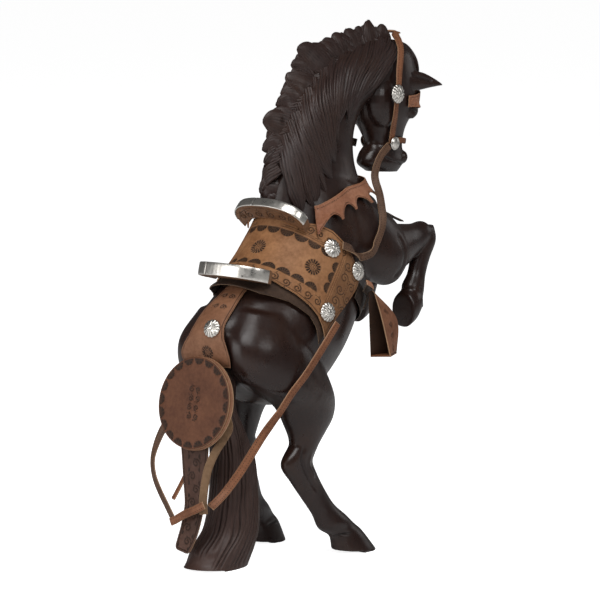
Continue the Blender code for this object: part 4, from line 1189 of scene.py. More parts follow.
@dataclass
class Horse:
    """The carved horse: trunk and legs, head, mane and tail, as one carving."""

    voxel: float = 0.95
    triangles: int = 150000
    head_voxel: float = 0.66
    hair: HairStyle = field(default_factory=HairStyle)
    tail_strands: int = 36
    tail_cut: float = 1.9

    def build(self) -> list[Thing]:
        """Makes the four skins of the carving.

        Returns:
            The trunk with the legs, the head, the mane and the tail.
        """
        parts = [self.trunk(), self.head(), self.mane(), self.tail()]
        for part, finish in zip(parts, (WOOD, WOOD, HAIR_WOOD, TAIL_WOOD)):
            dress(part, finish, "horse")
        return parts

    def trunk(self) -> Thing:
        """Makes the trunk, the neck and the legs.

        Returns:
            The object.
        """
        soft = Shape()
        limb(soft, TORSO)
        limb(soft, NECK)
        crisp = Shape()
        for hand in Hand:
            side = hand.value
            leg = HIND_LEG if hand is Hand.RIGHT else left_leg(HIND_LEG)
            limb(soft, leg[:7], side)
            limb(soft, SHOULDER, side)
            limb(crisp, HIND_LEG[5:], side, 0.0 if hand is Hand.RIGHT else LEFT_HOOF_SET_BACK)
            for table in (FOREARM, CANNON, FORE_HOOF):
                limb(crisp, table, side)
        trunk = fused(soft.build("soft"), 1.3, 14)
        body = fused(merge("horse_body", trunk, crisp.build("crisp")), self.voxel, 7)
        self.ground(body)
        carver = Carver(body)
        for hand in Hand:
            self.muscles(carver, hand)
        carver.finish()
        thin = body.modifiers.new("thin", "DECIMATE")
        thin.ratio = self.triangles / (2 * len(body.data.polygons))
        applied(body)
        self.ground(body)
        shade(body, 60)
        return body

    @staticmethod
    def ground(obj: Thing) -> None:
        """Flattens what the horse stands on.

        Args:
            obj: The object.
        """
        places, _ = mesh_arrays(obj)
        places[:, 2] = np.where(places[:, 2] < 0.8, 0.0, places[:, 2])
        put_points(obj, places)

    @staticmethod
    def muscles(carver: Carver, hand: Hand) -> None:
        """Cuts the tendons, hooves and folds of one side.

        Args:
            carver: The carver of the trunk.
            hand: The side.
        """
        back = 0.0 if hand is Hand.RIGHT else LEFT_HOOF_SET_BACK
        for route, *cut in LEG_GROOVES:
            shares = [max(1 - z / HOCK_HEIGHT, 0) ** 2 for _, _, z in route]
            carver.groove([(f - back * t, r * hand.value, z) for (f, r, z), t in zip(route, shares)], *cut)
        for route, *cut in BODY_GROOVES:
            carver.groove(hand.mirrored(route), *cut)

    def head(self) -> Thing:
        """Makes the head with its ears, eyes, nostrils and mouth.

        Returns:
            The object.
        """
        shape = Shape()
        limb(shape, HEAD)
        ear = HairStyle(cut=0.0, sides=28)
        for hand in Hand:
            for centre, radii in HEAD_BLOBS:
                blob(shape, hand.mirrored([centre])[0], radii)
            widths, depths = (6.0, 8.0, 6.5, 3.6, 0.6), (5.0, 5.0, 3.6, 2.2, 0.5)
            ear.lock(shape, hand.mirrored(EAR), widths, depths, [(0.3, hand.value, 0.1)] * 5)
        head = fused(shape.build("horse_head"), self.head_voxel, 5)
        carver = Carver(head)
        turns = np.radians([230, 200, 170, 140, 110])
        cheek = [(170 + 17.5 * math.cos(a), 14, 311 + 19.5 * math.sin(a)) for a in turns]
        for hand, (route, *cut) in product(Hand, ((cheek, 1.3, 1.0, 0.5), *HEAD_GROOVES)):
            carver.groove(hand.mirrored(route), *cut)
        carver.finish()
        shade(head, 60)
        return head

    def mane(self) -> Thing:
        """Makes the mane, lock by lock, and the forelock.

        Returns:
            The object.
        """
        shape = Shape()
        depths = [3.2, 3.6, 3.2, 2.4, 0.6]
        for side, locks in enumerate((RIGHT_LOCKS, LEFT_LOCKS)):
            for k, (path, width) in enumerate(locks):
                self.neck_lock(shape, path, width, depths, 0.37 * k + side)
            for k, (first, second) in enumerate(zip(locks[:-1], locks[1:])):
                path = (np.array(first[0]) + np.array(second[0])) / 2 + np.array((0, 0, 0.9))
                path[:, 0] += 0.012 * math.sin(2.3 * k)
                turned = 6.0 * math.sin(k * 1.3) * (1 if side == 0 else -1)
                path[-1] += (0.012 * math.sin(k * 1.9), turned, 0.3)
                self.neck_lock(shape, path.tolist(), 4.6, [2.6, 3.0, 2.6, 1.9, 0.5], 0.61 * k + 2.0 + side)
        made = []
        for along, forward, up, width in CREST:
            root, face = neck_place(along, -6, 0)
            root = root - face * 8
            tip = np.array((forward, -2 - 8 * min(max((0.9 - along) / 0.5, 0), 1), up))
            made.append((root, tip, width))
        for k, (first, second) in enumerate(zip(made, made[1:])):
            root, tip = ((a + b) / 2 for a, b in zip(first[:2], second[:2]))
            made.append((root, tip - unit(tip - root) * (1.4 + k % 2), 6.5))
        for k, (root, tip, width) in enumerate(made):
            curl = np.array((1.6 * math.sin(k * 2.3), 1.2 * math.sin(k * 1.3), 1.6 + 1.4 * math.sin(k * 1.7)))
            low, high = root * 0.6 + tip * 0.4 + curl * 0.4, root * 0.28 + tip * 0.72 + curl
            path = [root, low, high, tip, tip + (tip - root) * 0.02]
            widths = [width * share for share in (1.3, 1.45, 1.15, 0.42, 0.05)]
            depths = [5.6 - k % 2, 5.2 - k % 2, 3.4, 1.1, 0.2]
            self.hair.lock(shape, path, widths, depths, [(0.0, 1.0, 0.0)] * 5, 0.5 * k, True)
        for k, right in enumerate((-4.0, 0.5, 5.0)):
            path = [(184, right * 0.6, 352), (197, right, 348.5), (207, right * 1.2, 339)]
            path += [(211.5, right * 1.1, 330), (211.5, right, 325.5 + k)]
            faces = [(0.4, 0, 1), (0.6, 0, 0.8), (1, 0, 0.3), (1, 0, 0), (1, 0, 0)]
            self.hair.lock(shape, path, [4.0, 4.5, 4.2, 3.0, 0.5], [2.6, 2.8, 2.2, 1.6, 0.4], faces, k)
        return shape.build("horse_mane", 75)

    def neck_lock(self, shape: Shape, path: Rows, width: float, depths: Numbers, seed: float) -> None:
        """Adds a lock that lies on the neck.

        Args:
            shape: What it is added to.
            path: Places as (along, degrees, lift).
            width: Its half width.
            depths: Half thicknesses along it.
            seed: Shifts the strands.
        """
        spots = [neck_place(*p) for p in path]
        widths = [width * share for share in (0.8, 1.0, 1.0, 0.75, 0.15)]
        self.hair.lock(shape, [s[0] for s in spots], widths, depths, [s[1] for s in spots], seed)

    def tail(self) -> Thing:
        """Makes the tail, with strands that run down and fan out.

        Returns:
            The object.
        """
        sides = self.tail_strands * 10
        rings = stations(TAIL, 1.0, 0.0, 10, sides)
        middle = rings.mean(1, keepdims=True)
        away = rings - middle
        reach = np.linalg.norm(away, axis=2, keepdims=True)
        turns = np.arange(sides)[None, :] / sides
        height = rings[..., 2]
        sweep = 0.0019 * np.maximum(height - 12, 0) ** 1.6
        phase = turns * self.tail_strands + sweep + 0.3 * np.sin(height / 12.0 + turns * 19.0)
        phase = phase + 0.16 * np.sin(height / 4.6 + turns * 47.0)
        crest = 0.8 * np.abs(np.sin(math.pi * phase))
        crest = crest + 0.2 * np.abs(np.sin(math.pi * phase * 2.0 + height / 9.0))
        deep = 0.62 + 0.38 * np.sin(turns * 2 * math.pi * 9 + height / 17.0)
        fade = soft_step(height, 1.0, 5.0) * (1 - 0.7 * soft_step(height, 118, 135))
        behind = soft_step(-away[..., 0] / reach[..., 0], 0.72, 0.93) * (1 - soft_step(height, 9, 14))
        cut = self.tail_cut * ((1 - crest**0.8) * deep * (1 - behind) + 0.9 * behind) * fade
        rings = rings - away / reach * cut[..., None]
        shape = Shape()
        # Painted shade darkens the valleys between the strands of the tail.
        shape.grid(rings, wrap=True, ends=True, dust=(1 - crest) ** 1.4 * fade * deep * (1 - behind))
        tail = shape.build("horse_tail", 75)
        self.ground(tail)
        return tail


def spaced(length: float, step: float, edge: float = 0.6) -> Array:
    """Shares from 0 to 1 across a length, closer together near both ends.

    Args:
        length: The length in millimetres.
        step: Millimetres between places away from the ends.
        edge: Millimetres at each end where places lie closer.

    Returns:
        The shares.
    """
    inner = np.linspace(edge, length - edge, max(3, round((length - 2 * edge) / step) + 1))
    ends = np.array((0.0, 0.13, 0.4)) * edge
    return np.concatenate([ends, inner, length - ends[::-1]]) / length


def edge_drop(near: Array, radius: float) -> Array:
    """How far a rounded edge falls below its face."""
    t = np.clip(1 - near / radius, 0, 1)
    return radius * (1 - np.sqrt(np.clip(1 - t * t, 0, 1)))


def band(value: Array, at: float, half: float) -> Array:
    """A soft bump from 0 to 1 round one value."""
    return np.exp(-(((np.asarray(value) - at) / half) ** 2))


class Tooling:
    """Patterns stamped into leather or metal, laid out flat in millimetres."""

    def __init__(self, x: Array, y: Array, near: Optional[Array] = None) -> None:
        """Starts with a plain face.

        Args:
            x: Where each point of the grid lies one way.
            y: Where it lies the other way.
            near: How far it is from the edge.
        """
        self.x, self.y, self.near = x, y, near
        self.spots = np.stack([np.ravel(x), np.ravel(y)], 1)
        self.height = np.zeros(len(self.spots))
        self.stain = np.zeros(len(self.spots))

    def close_to(self, centre: Numbers, reach: float) -> tuple[Array, Array, Array]:
        """The points close to a place.

        Args:
            centre: The place.
            reach: How far away they may be.

        Returns:
            Their numbers, and their places from the centre.
        """
        away = self.spots - np.asarray(centre, float)
        at = np.where((np.abs(away) < reach).all(1))[0]
        return at, away[at, 0], away[at, 1]

    def sink(self, at: Array | slice, mask: Array, depth: float, stain: float) -> None:
        """Presses a mask into the face.

        Args:
            at: The numbers of the points.
            mask: How much of the pattern there is at each, from 0 to 1.
            depth: How deep it goes in millimetres.
            stain: How dark it is.
        """
        pressed = np.minimum(self.height[at], -mask * depth)
        self.height[at] = np.where(mask > 0.02, pressed, self.height[at])
        self.stain[at] = np.maximum(self.stain[at], mask * stain)

    def press(self, mask: Array, depth: float, stain: float) -> None:
        """Presses a mask in the form of the grid into the whole face."""
        self.sink(slice(None), np.ravel(mask), depth, stain)

    def line(self, route: Rows, width: float, depth: float, stain: float, steps: int = 6) -> None:
        """Presses a line, thinner towards its ends.

        Args:
            route: The places it runs through.
            width: Its half width.
            depth: How deep it is.
            stain: How dark it is.
            steps: In-between places added.
        """
        run = smooth_rows(route, steps) if len(route) > 2 else np.asarray(route, float)
        at = np.where(inside_box(self.spots, run, width * 3))[0]
        if len(at):
            far, share = line_distance(self.spots[at], run)
            ends = np.clip(np.minimum(share, 1 - share) * 10, 0.35, 1)
            self.sink(at, np.exp(-((far / (width * ends)) ** 2)), depth, stain)

    def fan(self, centre: Numbers, way: Numbers, radius: float, ribs: int = 7, depth: float = 0.45) -> None:
        """Presses a half-round stamp with ribs.

        Args:
            centre: The middle of its straight side.
            way: Where its curved side points.
            radius: Its radius.
            ribs: How many ribs it has.
            depth: How deep it is.
        """
        way = unit(way)
        at, x, y = self.close_to(centre, radius * 1.3)
        a, b = x * way[0] + y * way[1], -x * way[1] + y * way[0]
        far, turn = np.hypot(a, b), np.arctan2(b, a)
        inside = soft_step(a, -0.15, 0.2) * (1 - soft_step(far, radius - 0.15, radius + 0.15))
        rib = np.abs(np.sin(turn * ribs)) ** 1.5 * soft_step(far, radius * 0.3, radius * 0.45)
        rim = np.maximum(band(far, radius - 0.25, 0.34), 0.8 * band(a, 0.15, 0.22)) * inside
        eye = band(far, radius * 0.22, 0.3) * inside
        self.sink(at, np.maximum(np.maximum(rim, eye), inside * (0.66 + 0.3 * rib)), depth, 0.98)

    def rosette(self, centre: Numbers, radius: float, petals: int = 16) -> None:
        """Presses a ring of wedge-shaped petals round a small ring.

        Args:
            centre: Its middle.
            radius: Its radius.
            petals: How many petals.
        """
        at, x, y = self.close_to(centre, radius * 1.2)
        far, turn = np.hypot(x, y), np.arctan2(y, x)
        wedge = soft_step(np.abs(np.sin(turn * petals / 2)), 0.25, 0.7)
        ring = soft_step(far, radius * 0.34, radius * 0.44) * (1 - soft_step(far, radius * 0.84, radius))
        eye = np.maximum(band(far, radius * 0.26, 0.3) * 0.9, band(far, 0.0, radius * 0.1))
        self.sink(at, np.maximum(wedge * ring, eye), 0.5, 0.95)

    def scroll(self, centre: Numbers, radius: float, start: float, hand: float, tail: float = 1.0) -> None:
        """Presses a curl with a leaf at its tail.

        Args:
            centre: Its middle.
            radius: Its radius.
            start: The turn in degrees at which the tail leaves.
            hand: 1 or -1 for which way it curls.
            tail: The length of the tail over the radius.
        """
        reach = radius * (1 - 0.83 * np.linspace(0, 1, 16) ** 0.8)
        angle = math.radians(start) + hand * np.linspace(0, 1.45 * 2 * math.pi, 16)
        curl = np.stack([np.cos(angle) * reach, np.sin(angle) * reach], 1)
        away = curl[0] - hand * np.array((-math.sin(angle[0]), math.cos(angle[0]))) * radius * tail
        self.line(np.vstack([away[None], curl]) + np.asarray(centre, float), 0.42, 0.45, 0.95, 3)
        for turn in (0, 3):
            at = curl[turn] * 1.18
            tip = at * 1.25 + hand * 0.25 * radius * unit((-at[1], at[0]))
            self.line(np.array([at, tip]) + np.asarray(centre, float), 0.36, 0.4, 0.9)

    def relief(self) -> tuple[Array, Array]:
        """The heights and stains of the finished pattern, in the form of the grid."""
        return self.height.reshape(self.x.shape), self.stain.reshape(self.x.shape)


def lengths(grid: Array) -> tuple[Array, Array]:
    """How far each point of a grid is from the middle row and the middle column.

    Args:
        grid: Rows, columns and 3.

    Returns:
        Two arrays of millimetres.
    """
    made = []
    for axis in (0, 1):
        step = np.linalg.norm(np.diff(grid, axis=axis), axis=2)
        run = np.cumsum(np.concatenate([np.zeros_like(np.take(step, [0], axis)), step], axis), axis)
        made.append(run - np.take(run, [run.shape[axis] // 2], axis))
    return made[0], made[1]


def from_edge(x: Array, y: Array) -> Array:
    """How far each point of a grid is from its edge, from lengths along its columns and its rows."""
    return np.minimum(np.minimum(x - x[:1], x[-1:] - x), np.minimum(y - y[:, :1], y[:, -1:] - y))


def edge_marks(near: Array, pale: float = 1.0, soft: float = 0.5) -> dict[str, Array]:
    """The marks of a leather's edge: pale where it is cut, and burnished beside that."""
    return {"cut_edge": np.where(near <= 1e-6, pale, 0.0), "burnish": band(near, 0.0, soft)}


@dataclass
class Sheet:
    """A sheet of leather whose under side is given by a way of finding places."""

    name: str
    finish: Finish
    place: Callable
    size: tuple[float, float]
    thickness: float = LEATHER
    step: float = 0.6
    rounding: float = 0.55

    def build(self, tool: Optional[Callable] = None) -> Thing:
        """Makes the piece.

        Args:
            tool: Presses the pattern, from (tooling, u, v).

        Returns:
            The object.
        """
        shares = [spaced(size, self.step) for size in self.size]
        u, v = np.meshgrid(*shares, indexing="ij")
        x, y = lengths(self.place(u, v, 0.0))
        near = from_edge(x, y)
        tooling = Tooling(x, y, near)
        if tool:
            tool(tooling, u, v)
        height, stain = tooling.relief()
        height = np.clip(height, -self.thickness * 0.55, 1.0)
        drop = edge_drop(near, min(self.rounding, self.thickness * 0.6))
        low = edge_drop(near, min(self.rounding, self.thickness * 0.35))
        top = self.place(u, v, self.thickness - drop + height)
        shape = Shape()
        shape.leaf(self.place(u, v, low), top, stain=stain, **edge_marks(near))
        return dress(shape.build(self.name), self.finish)


@dataclass
class Strap:
    """A flat strap of leather, laid along a path and kept clear of what it lies over."""

    name: str
    finish: Finish
    width: float = STRAP_WIDTH
    thickness: float = LEATHER
    step: float = 0.7
    columns: int = 9
    crown: float = 0.18

    def run(
        self,
        path: Rows,
        faces: Rows,
        widths: Optional[Numbers] = None,
        over: Optional[Skin] = None,
        above: float = 9.0,
        clear: float = 0.7,
        tool: Optional[Callable] = None,
    ) -> Thing:
        """Makes the strap.

        Args:
            path: The places its under side runs through.
            faces: The way it faces there, or one way for all.
            widths: Its width there, where it isn't even.
            over: What it lies over.
            above: How far above its path that may stand.
            clear: How far it stays clear of it.
            tool: Presses the pattern, from (tooling).

        Returns:
            The object.
        """
        wide = [self.width] * len(path) if widths is None else widths
        faces = list(faces) * (len(path) if len(faces) == 1 else 1)
        rows = smooth_rows([[*p, *f, w] for p, f, w in zip(path, faces, wide)], 2)
        centre = rows[:, :3]
        out, across = ways(centre, rows[:, 3:6])
        if over is not None:
            half = across * rows[:, 6:7] / 2
            centre = centre + out * self.raised(over, centre, out, half, above, clear)[:, None]
        gap = np.linalg.norm(np.diff(centre, axis=0), axis=1).mean()
        fine = smooth_rows(np.hstack([centre, out, rows[:, 6:7]]), max(2, round(gap / self.step)))
        centre = fine[:, :3]
        out, across = ways(centre, fine[:, 3:6])
        even = np.linspace(-1, 1, max(self.columns, round(fine[:, 6].max() / 0.48)) + 4)
        share = np.sin(even * math.pi / 2) * 0.35 + even * 0.65
        half = fine[:, 6:7] / 2
        x, y = passed(centre)[:, None] + 0 * share, half * share
        near = np.minimum(half - np.abs(y), np.minimum(x, x[-1:] - x))
        tooling = Tooling(x, y, near)
        if tool:
            tool(tooling)
        height, stain = tooling.relief()
        under = centre[:, None] + across[:, None] * y[..., None]
        top = self.thickness - edge_drop(near, self.thickness * 0.45) + self.crown * (1 - share**2) + height
        low = edge_drop(near, self.thickness * 0.35)
        inner, outer = (under + out[:, None] * lift[..., None] for lift in (low, top))
        shape = Shape()
        shape.leaf(inner, outer, stain=stain, along=x, across=y, **edge_marks(near, 0.8, 0.45))
        return dress(shape.build(self.name), self.finish)

    @staticmethod
    def raised(over: Skin, centre: Array, out: Array, half: Array, above: float, clear: float) -> Array:
        """How far each ring is lifted so that its whole width clears what it lies over.

        Args:
            over: What it lies over.
            centre: The middle of the rings.
            out: The way the rings face.
            half: Half a width across them.
            above: How far above the path to look from.
            clear: How far to stay clear.

        Returns:
            The lifts in millimetres.
        """
        need = np.zeros(len(centre))
        for i, (middle, way, side) in enumerate(zip(centre, out, half)):
            ahead = centre[min(i + 1, len(centre) - 1)] - middle
            for step, share in product((-0.5, 0.0, 0.5), (-1.15, -0.6, 0.0, 0.6, 1.15)):
                start = middle + side * share + ahead * step + way * above
                need[i] = max(need[i], above - over.depth(start, -way) + clear)
        need = np.clip(need, 0, above * 0.7)
        for _ in range(2):
            need = neighbours(neighbours(need).max(0)).sum(0) / 3
        return need


def laid(skin: Skin, points: Rows, lift: float, close: float = 6.0) -> tuple[list, list]:
    """Places of a path brought to a lift over the skin where they are close to it.

    Args:
        skin: The skin.
        points: The places.
        lift: Millimetres off the skin.
        close: How far away still counts as close.

    Returns:
        The places and the ways they face.
    """
    path, faces = [], []
    for point in points:
        spot, face = skin.nearest(point)
        path.append(spot + face * lift if np.linalg.norm(spot - point) < close else np.array(point, float))
        faces.append(face)
    return path, faces


def aside(face: Array) -> tuple[Array, Array]:
    """Two directions square to a face and to each other."""
    side = unit(np.cross(face, UPWARD if abs(face[2]) < 0.9 else FORWARD))
    return side, np.cross(face, side)


def seated(
    over: Skin, centre: Array, face: Array, radius: float, clear: float = CLEAR, look: float = 12.0
) -> Array:
    """A place moved along its face until a round piece there clears what it stands on.

    Args:
        over: What it stands on.
        centre: The place.
        face: The way it faces.
        radius: The radius of the piece.
        clear: How far it stays clear.
        look: How far out to look from.

    Returns:
        The new place.
    """
    side, other = aside(face)
    need = -FAR
    for share, turn in product((0.0, 0.3, 0.6, 0.85, 1.1), around(24)):
        start = centre + (side * math.cos(turn) + other * math.sin(turn)) * radius * share + face * look
        need = max(need, look - over.depth(start, -face))
    return centre + face * (need + clear)


def stood_off(skin: Skin, middle: Array, way: Array, above: Array, start: float, spread: Numbers) -> float:
    """How far one way a piece must stand to clear the skin there and a little to all sides.

    Args:
        skin: The skin.
        middle: The place measured from.
        way: The direction.
        above: A direction square to it.
        start: How far out to look from.
        spread: How far to look to the sides, and up and down.

    Returns:
        Millimetres.
    """
    side = np.cross(above, way)
    far = 0.0
    for i, j in product((-1, -0.5, 0, 0.5, 1), (-1, 0, 1)):
        shift = side * i * spread[0] + above * j * spread[1]
        far = max(far, start - skin.depth(middle + shift + way * start, -way))
    return far


@dataclass
class Concho:
    """A fluted silver dome with a scalloped rim and a button in the middle."""

    radius: float = CONCHO_RADIUS
    rise: float = 3.0
    flutes: int = 14
    plain: bool = False

    def build(self, name: str, centre: Array, face: Array) -> Thing:
        """Makes the concho.

        Args:
            name: The name of the piece.
            centre: The middle of its under side.
            face: The way it faces.

        Returns:
            The object.
        """
        side, other = aside(face)
        turns = around(126)
        share = np.concatenate([np.linspace(1.0, 0.76, 8), np.linspace(0.73, 0.05, 20)])[:, None]
        valley = (1 - np.abs(np.cos(turns * self.flutes / 2))[None, :]) ** 1.2
        dome = self.rise * (0.2 + 0.8 * np.clip(1 - share**2, 0, 1) ** 0.8)
        if self.plain:
            valley = valley * 0
            cut = 0.25 * band(share, 0.8, 0.035) + valley
        else:
            cut = valley * 0.5 * soft_step(share, 0.24, 0.4) * (1 - 0.5 * soft_step(share, 0.8, 1.0))
            cut = cut + 0.4 * band(share, 0.235, 0.035)
        height = np.maximum(dome - cut, 0.12) - edge_drop((1 - share) * self.radius, 0.3) * 0.8
        reach = share * self.radius * (1 - 0.06 * valley * soft_step(share, 0.7, 1.0))
        flat = side * (np.cos(turns) * reach)[..., None] + other * (np.sin(turns) * reach)[..., None]
        top = centre + flat + face * height[..., None]
        dark = np.clip(cut * 1.3, 0, 1)
        shape = Shape()
        rings = np.vstack([centre + flat[:1], top])
        shape.grid(rings, wrap=True, ends=True, stain=np.vstack([dark[:1], dark]))
        return dress(shape.build(name, 50), SILVER)


@dataclass
class Board:
    """A half-round board that stands on the saddle, with a silver strip round its edge."""

    name: str
    centre: Numbers
    outward: Numbers
    half_width: float
    height: float
    thickness: float
    joint: float = 0.3
    gap: float = 0.3
    strip: float = 0.8
    clear: float = 0.9
    roundness: float = 2.4

    @property
    def deep(self) -> Array:
        """The way through the board."""
        return np.array((self.outward[2], 0.0, -self.outward[0]))

    def spot(self, x: Array, y: Array, depth: Array) -> Array:
        """Places from how far across, up and through the board they are."""
        across, up, through = (np.asarray(value, float)[..., None] for value in (x, y, depth))
        return np.array(self.centre) + SIDEWAYS * across + np.array(self.outward) * up + self.deep * through

    def build(self, under: Skin) -> list[Thing]:
        """Makes the board and its strip.

        Args:
            under: What it stands on.

        Returns:
            The two objects.
        """
        coarse = np.sin(np.linspace(-math.pi / 2, math.pi / 2, 31)) * self.half_width
        near_end = np.clip(np.abs(coarse / self.half_width) - 0.85, 0, 1) / 0.15
        limits = -self.height * 0.8 * np.sqrt(np.clip(1 - near_end**2, 0, 1))
        lows = neighbours(np.maximum([self.foot(under, x) for x in coarse], limits)).max(0)
        xs = np.sin(np.linspace(-math.pi / 2, math.pi / 2, 161)) * self.half_width
        feet = np.interp(xs, coarse, lows)
        arch = np.clip(1 - np.abs(xs / self.half_width) ** self.roundness, 0, 1) ** (1 / self.roundness)
        tops = np.maximum(self.height * arch, feet + 1.6)
        y = feet + (tops - feet) * spaced(self.height, 0.5)[:, None]
        x = np.broadcast_to(xs, y.shape)
        tooling = Tooling(x, y)
        self.pattern(tooling)
        height, stain = tooling.relief()
        swell = self.thickness / 2 - edge_drop(np.minimum(y - feet, tops - y), 0.7)
        shape = Shape()
        shape.leaf(self.spot(x, y, swell), self.spot(x, y, -(swell + height)), underside_stain_and_shade=0.0, stain=stain)
        return [dress(shape.build(self.name, 50), BOARD), self.edging(xs, feet, tops)]

    def foot(self, under: Skin, x: float) -> float:
        """How low the board reaches at one place across it.

        Args:
            under: What it stands on.
            x: How far across the place is.

        Returns:
            Millimetres up the board.
        """
        reach = self.height + 20
        low = -FAR
        for share, shift in product(np.linspace(-0.6, 0.6, 9), (-1.0, 0.0, 1.0)):
            start = self.spot(x + shift, reach, self.thickness * share)
            low = max(low, reach - under.depth(start, -np.array(self.outward)))
        return low + self.clear

    def pattern(self, tooling: Tooling) -> None:
        """Tools the rear face with a line and scrolls.

        Args:
            tooling: The face.
        """
        w, h = self.half_width, self.height
        turns = np.radians(np.linspace(4, 176, 25))
        tooling.line([(w * 0.9 * math.cos(a), h * 0.88 * math.sin(a)) for a in turns], 0.28, 0.35, 0.8)
        for hand, (at, turn, curl) in product((-1, 1), ((0.2, 100, 1), (0.5, 60, -1), (0.76, 80, 1))):
            spot = (hand * w * at, h * (0.52 - 0.42 * at**2))
            tooling.scroll(spot, 3.9 - at, 90 - hand * (90 - turn), hand * curl, 1.3)

    def edging(self, xs: Array, feet: Array, tops: Array) -> Thing:
        """Makes the silver strip.

        Args:
            xs: Places across the board.
            feet: How low it is there.
            tops: How high it is there.

        Returns:
            The object.
        """
        line = np.array([(xs[0], feet[0] + 0.6), *list(zip(xs, tops))[1:-1], (xs[-1], feet[-1] + 0.6)])
        run = passed(line)
        even = np.linspace(0, run[-1], 150)
        line = np.stack([np.interp(even, run, line[:, k]) for k in (0, 1)], 1)
        for _ in range(6):
            line[1:-1] = (line[:-2] + 2 * line[1:-1] + line[2:]) / 4
        step = np.gradient(line, axis=0)
        normal = unit(np.stack([-step[:, 1], step[:, 0]], 1))
        seam = band(even, run[-1] * self.joint, 0.35)
        wear = 0.02 * np.sin(even * 0.7) + 0.012 * np.sin(even * 1.9 + 1)
        half = ((0, 0.5), (0.5, 0.5), (0.85, 0.485), (1.0, 0.455), (1.12, 0.25))
        outline = [(away, -share) for away, share in half] + [(1.16, 0.0), *half[::-1]]
        away, share = np.array(outline).T
        off = self.gap + away * self.strip * (1 - 0.55 * seam[:, None]) + wear[:, None] * away
        x, y = (line[:, k : k + 1] + normal[:, k : k + 1] * off for k in (0, 1))
        rings = self.spot(x, y, np.broadcast_to(self.thickness * share, off.shape))
        shape = Shape()
        shape.grid(rings, wrap=True, ends=True, stain=np.repeat(seam[:, None], len(outline), 1))
        return dress(shape.build(self.name + "_trim", 40), SILVER)


@dataclass(frozen=True)
class Outline:
    """Where a leather of the saddle ends."""

    half: Stops
    rear: Stops
    front: Stops

    def at(self, u: Array, v: Array) -> tuple[Array, Array]:
        """Millimetres along and degrees round, from shares of the way.

        Args:
            u: Shares from the rear.
            v: Shares from the left.

        Returns:
            Both in the form of the shares.
        """
        degrees = (2 * v - 1) * ramp(u, self.half)
        rear, front = (ramp(np.abs(degrees), edge) for edge in (self.rear, self.front))
        return rear + u * (front - rear), degrees


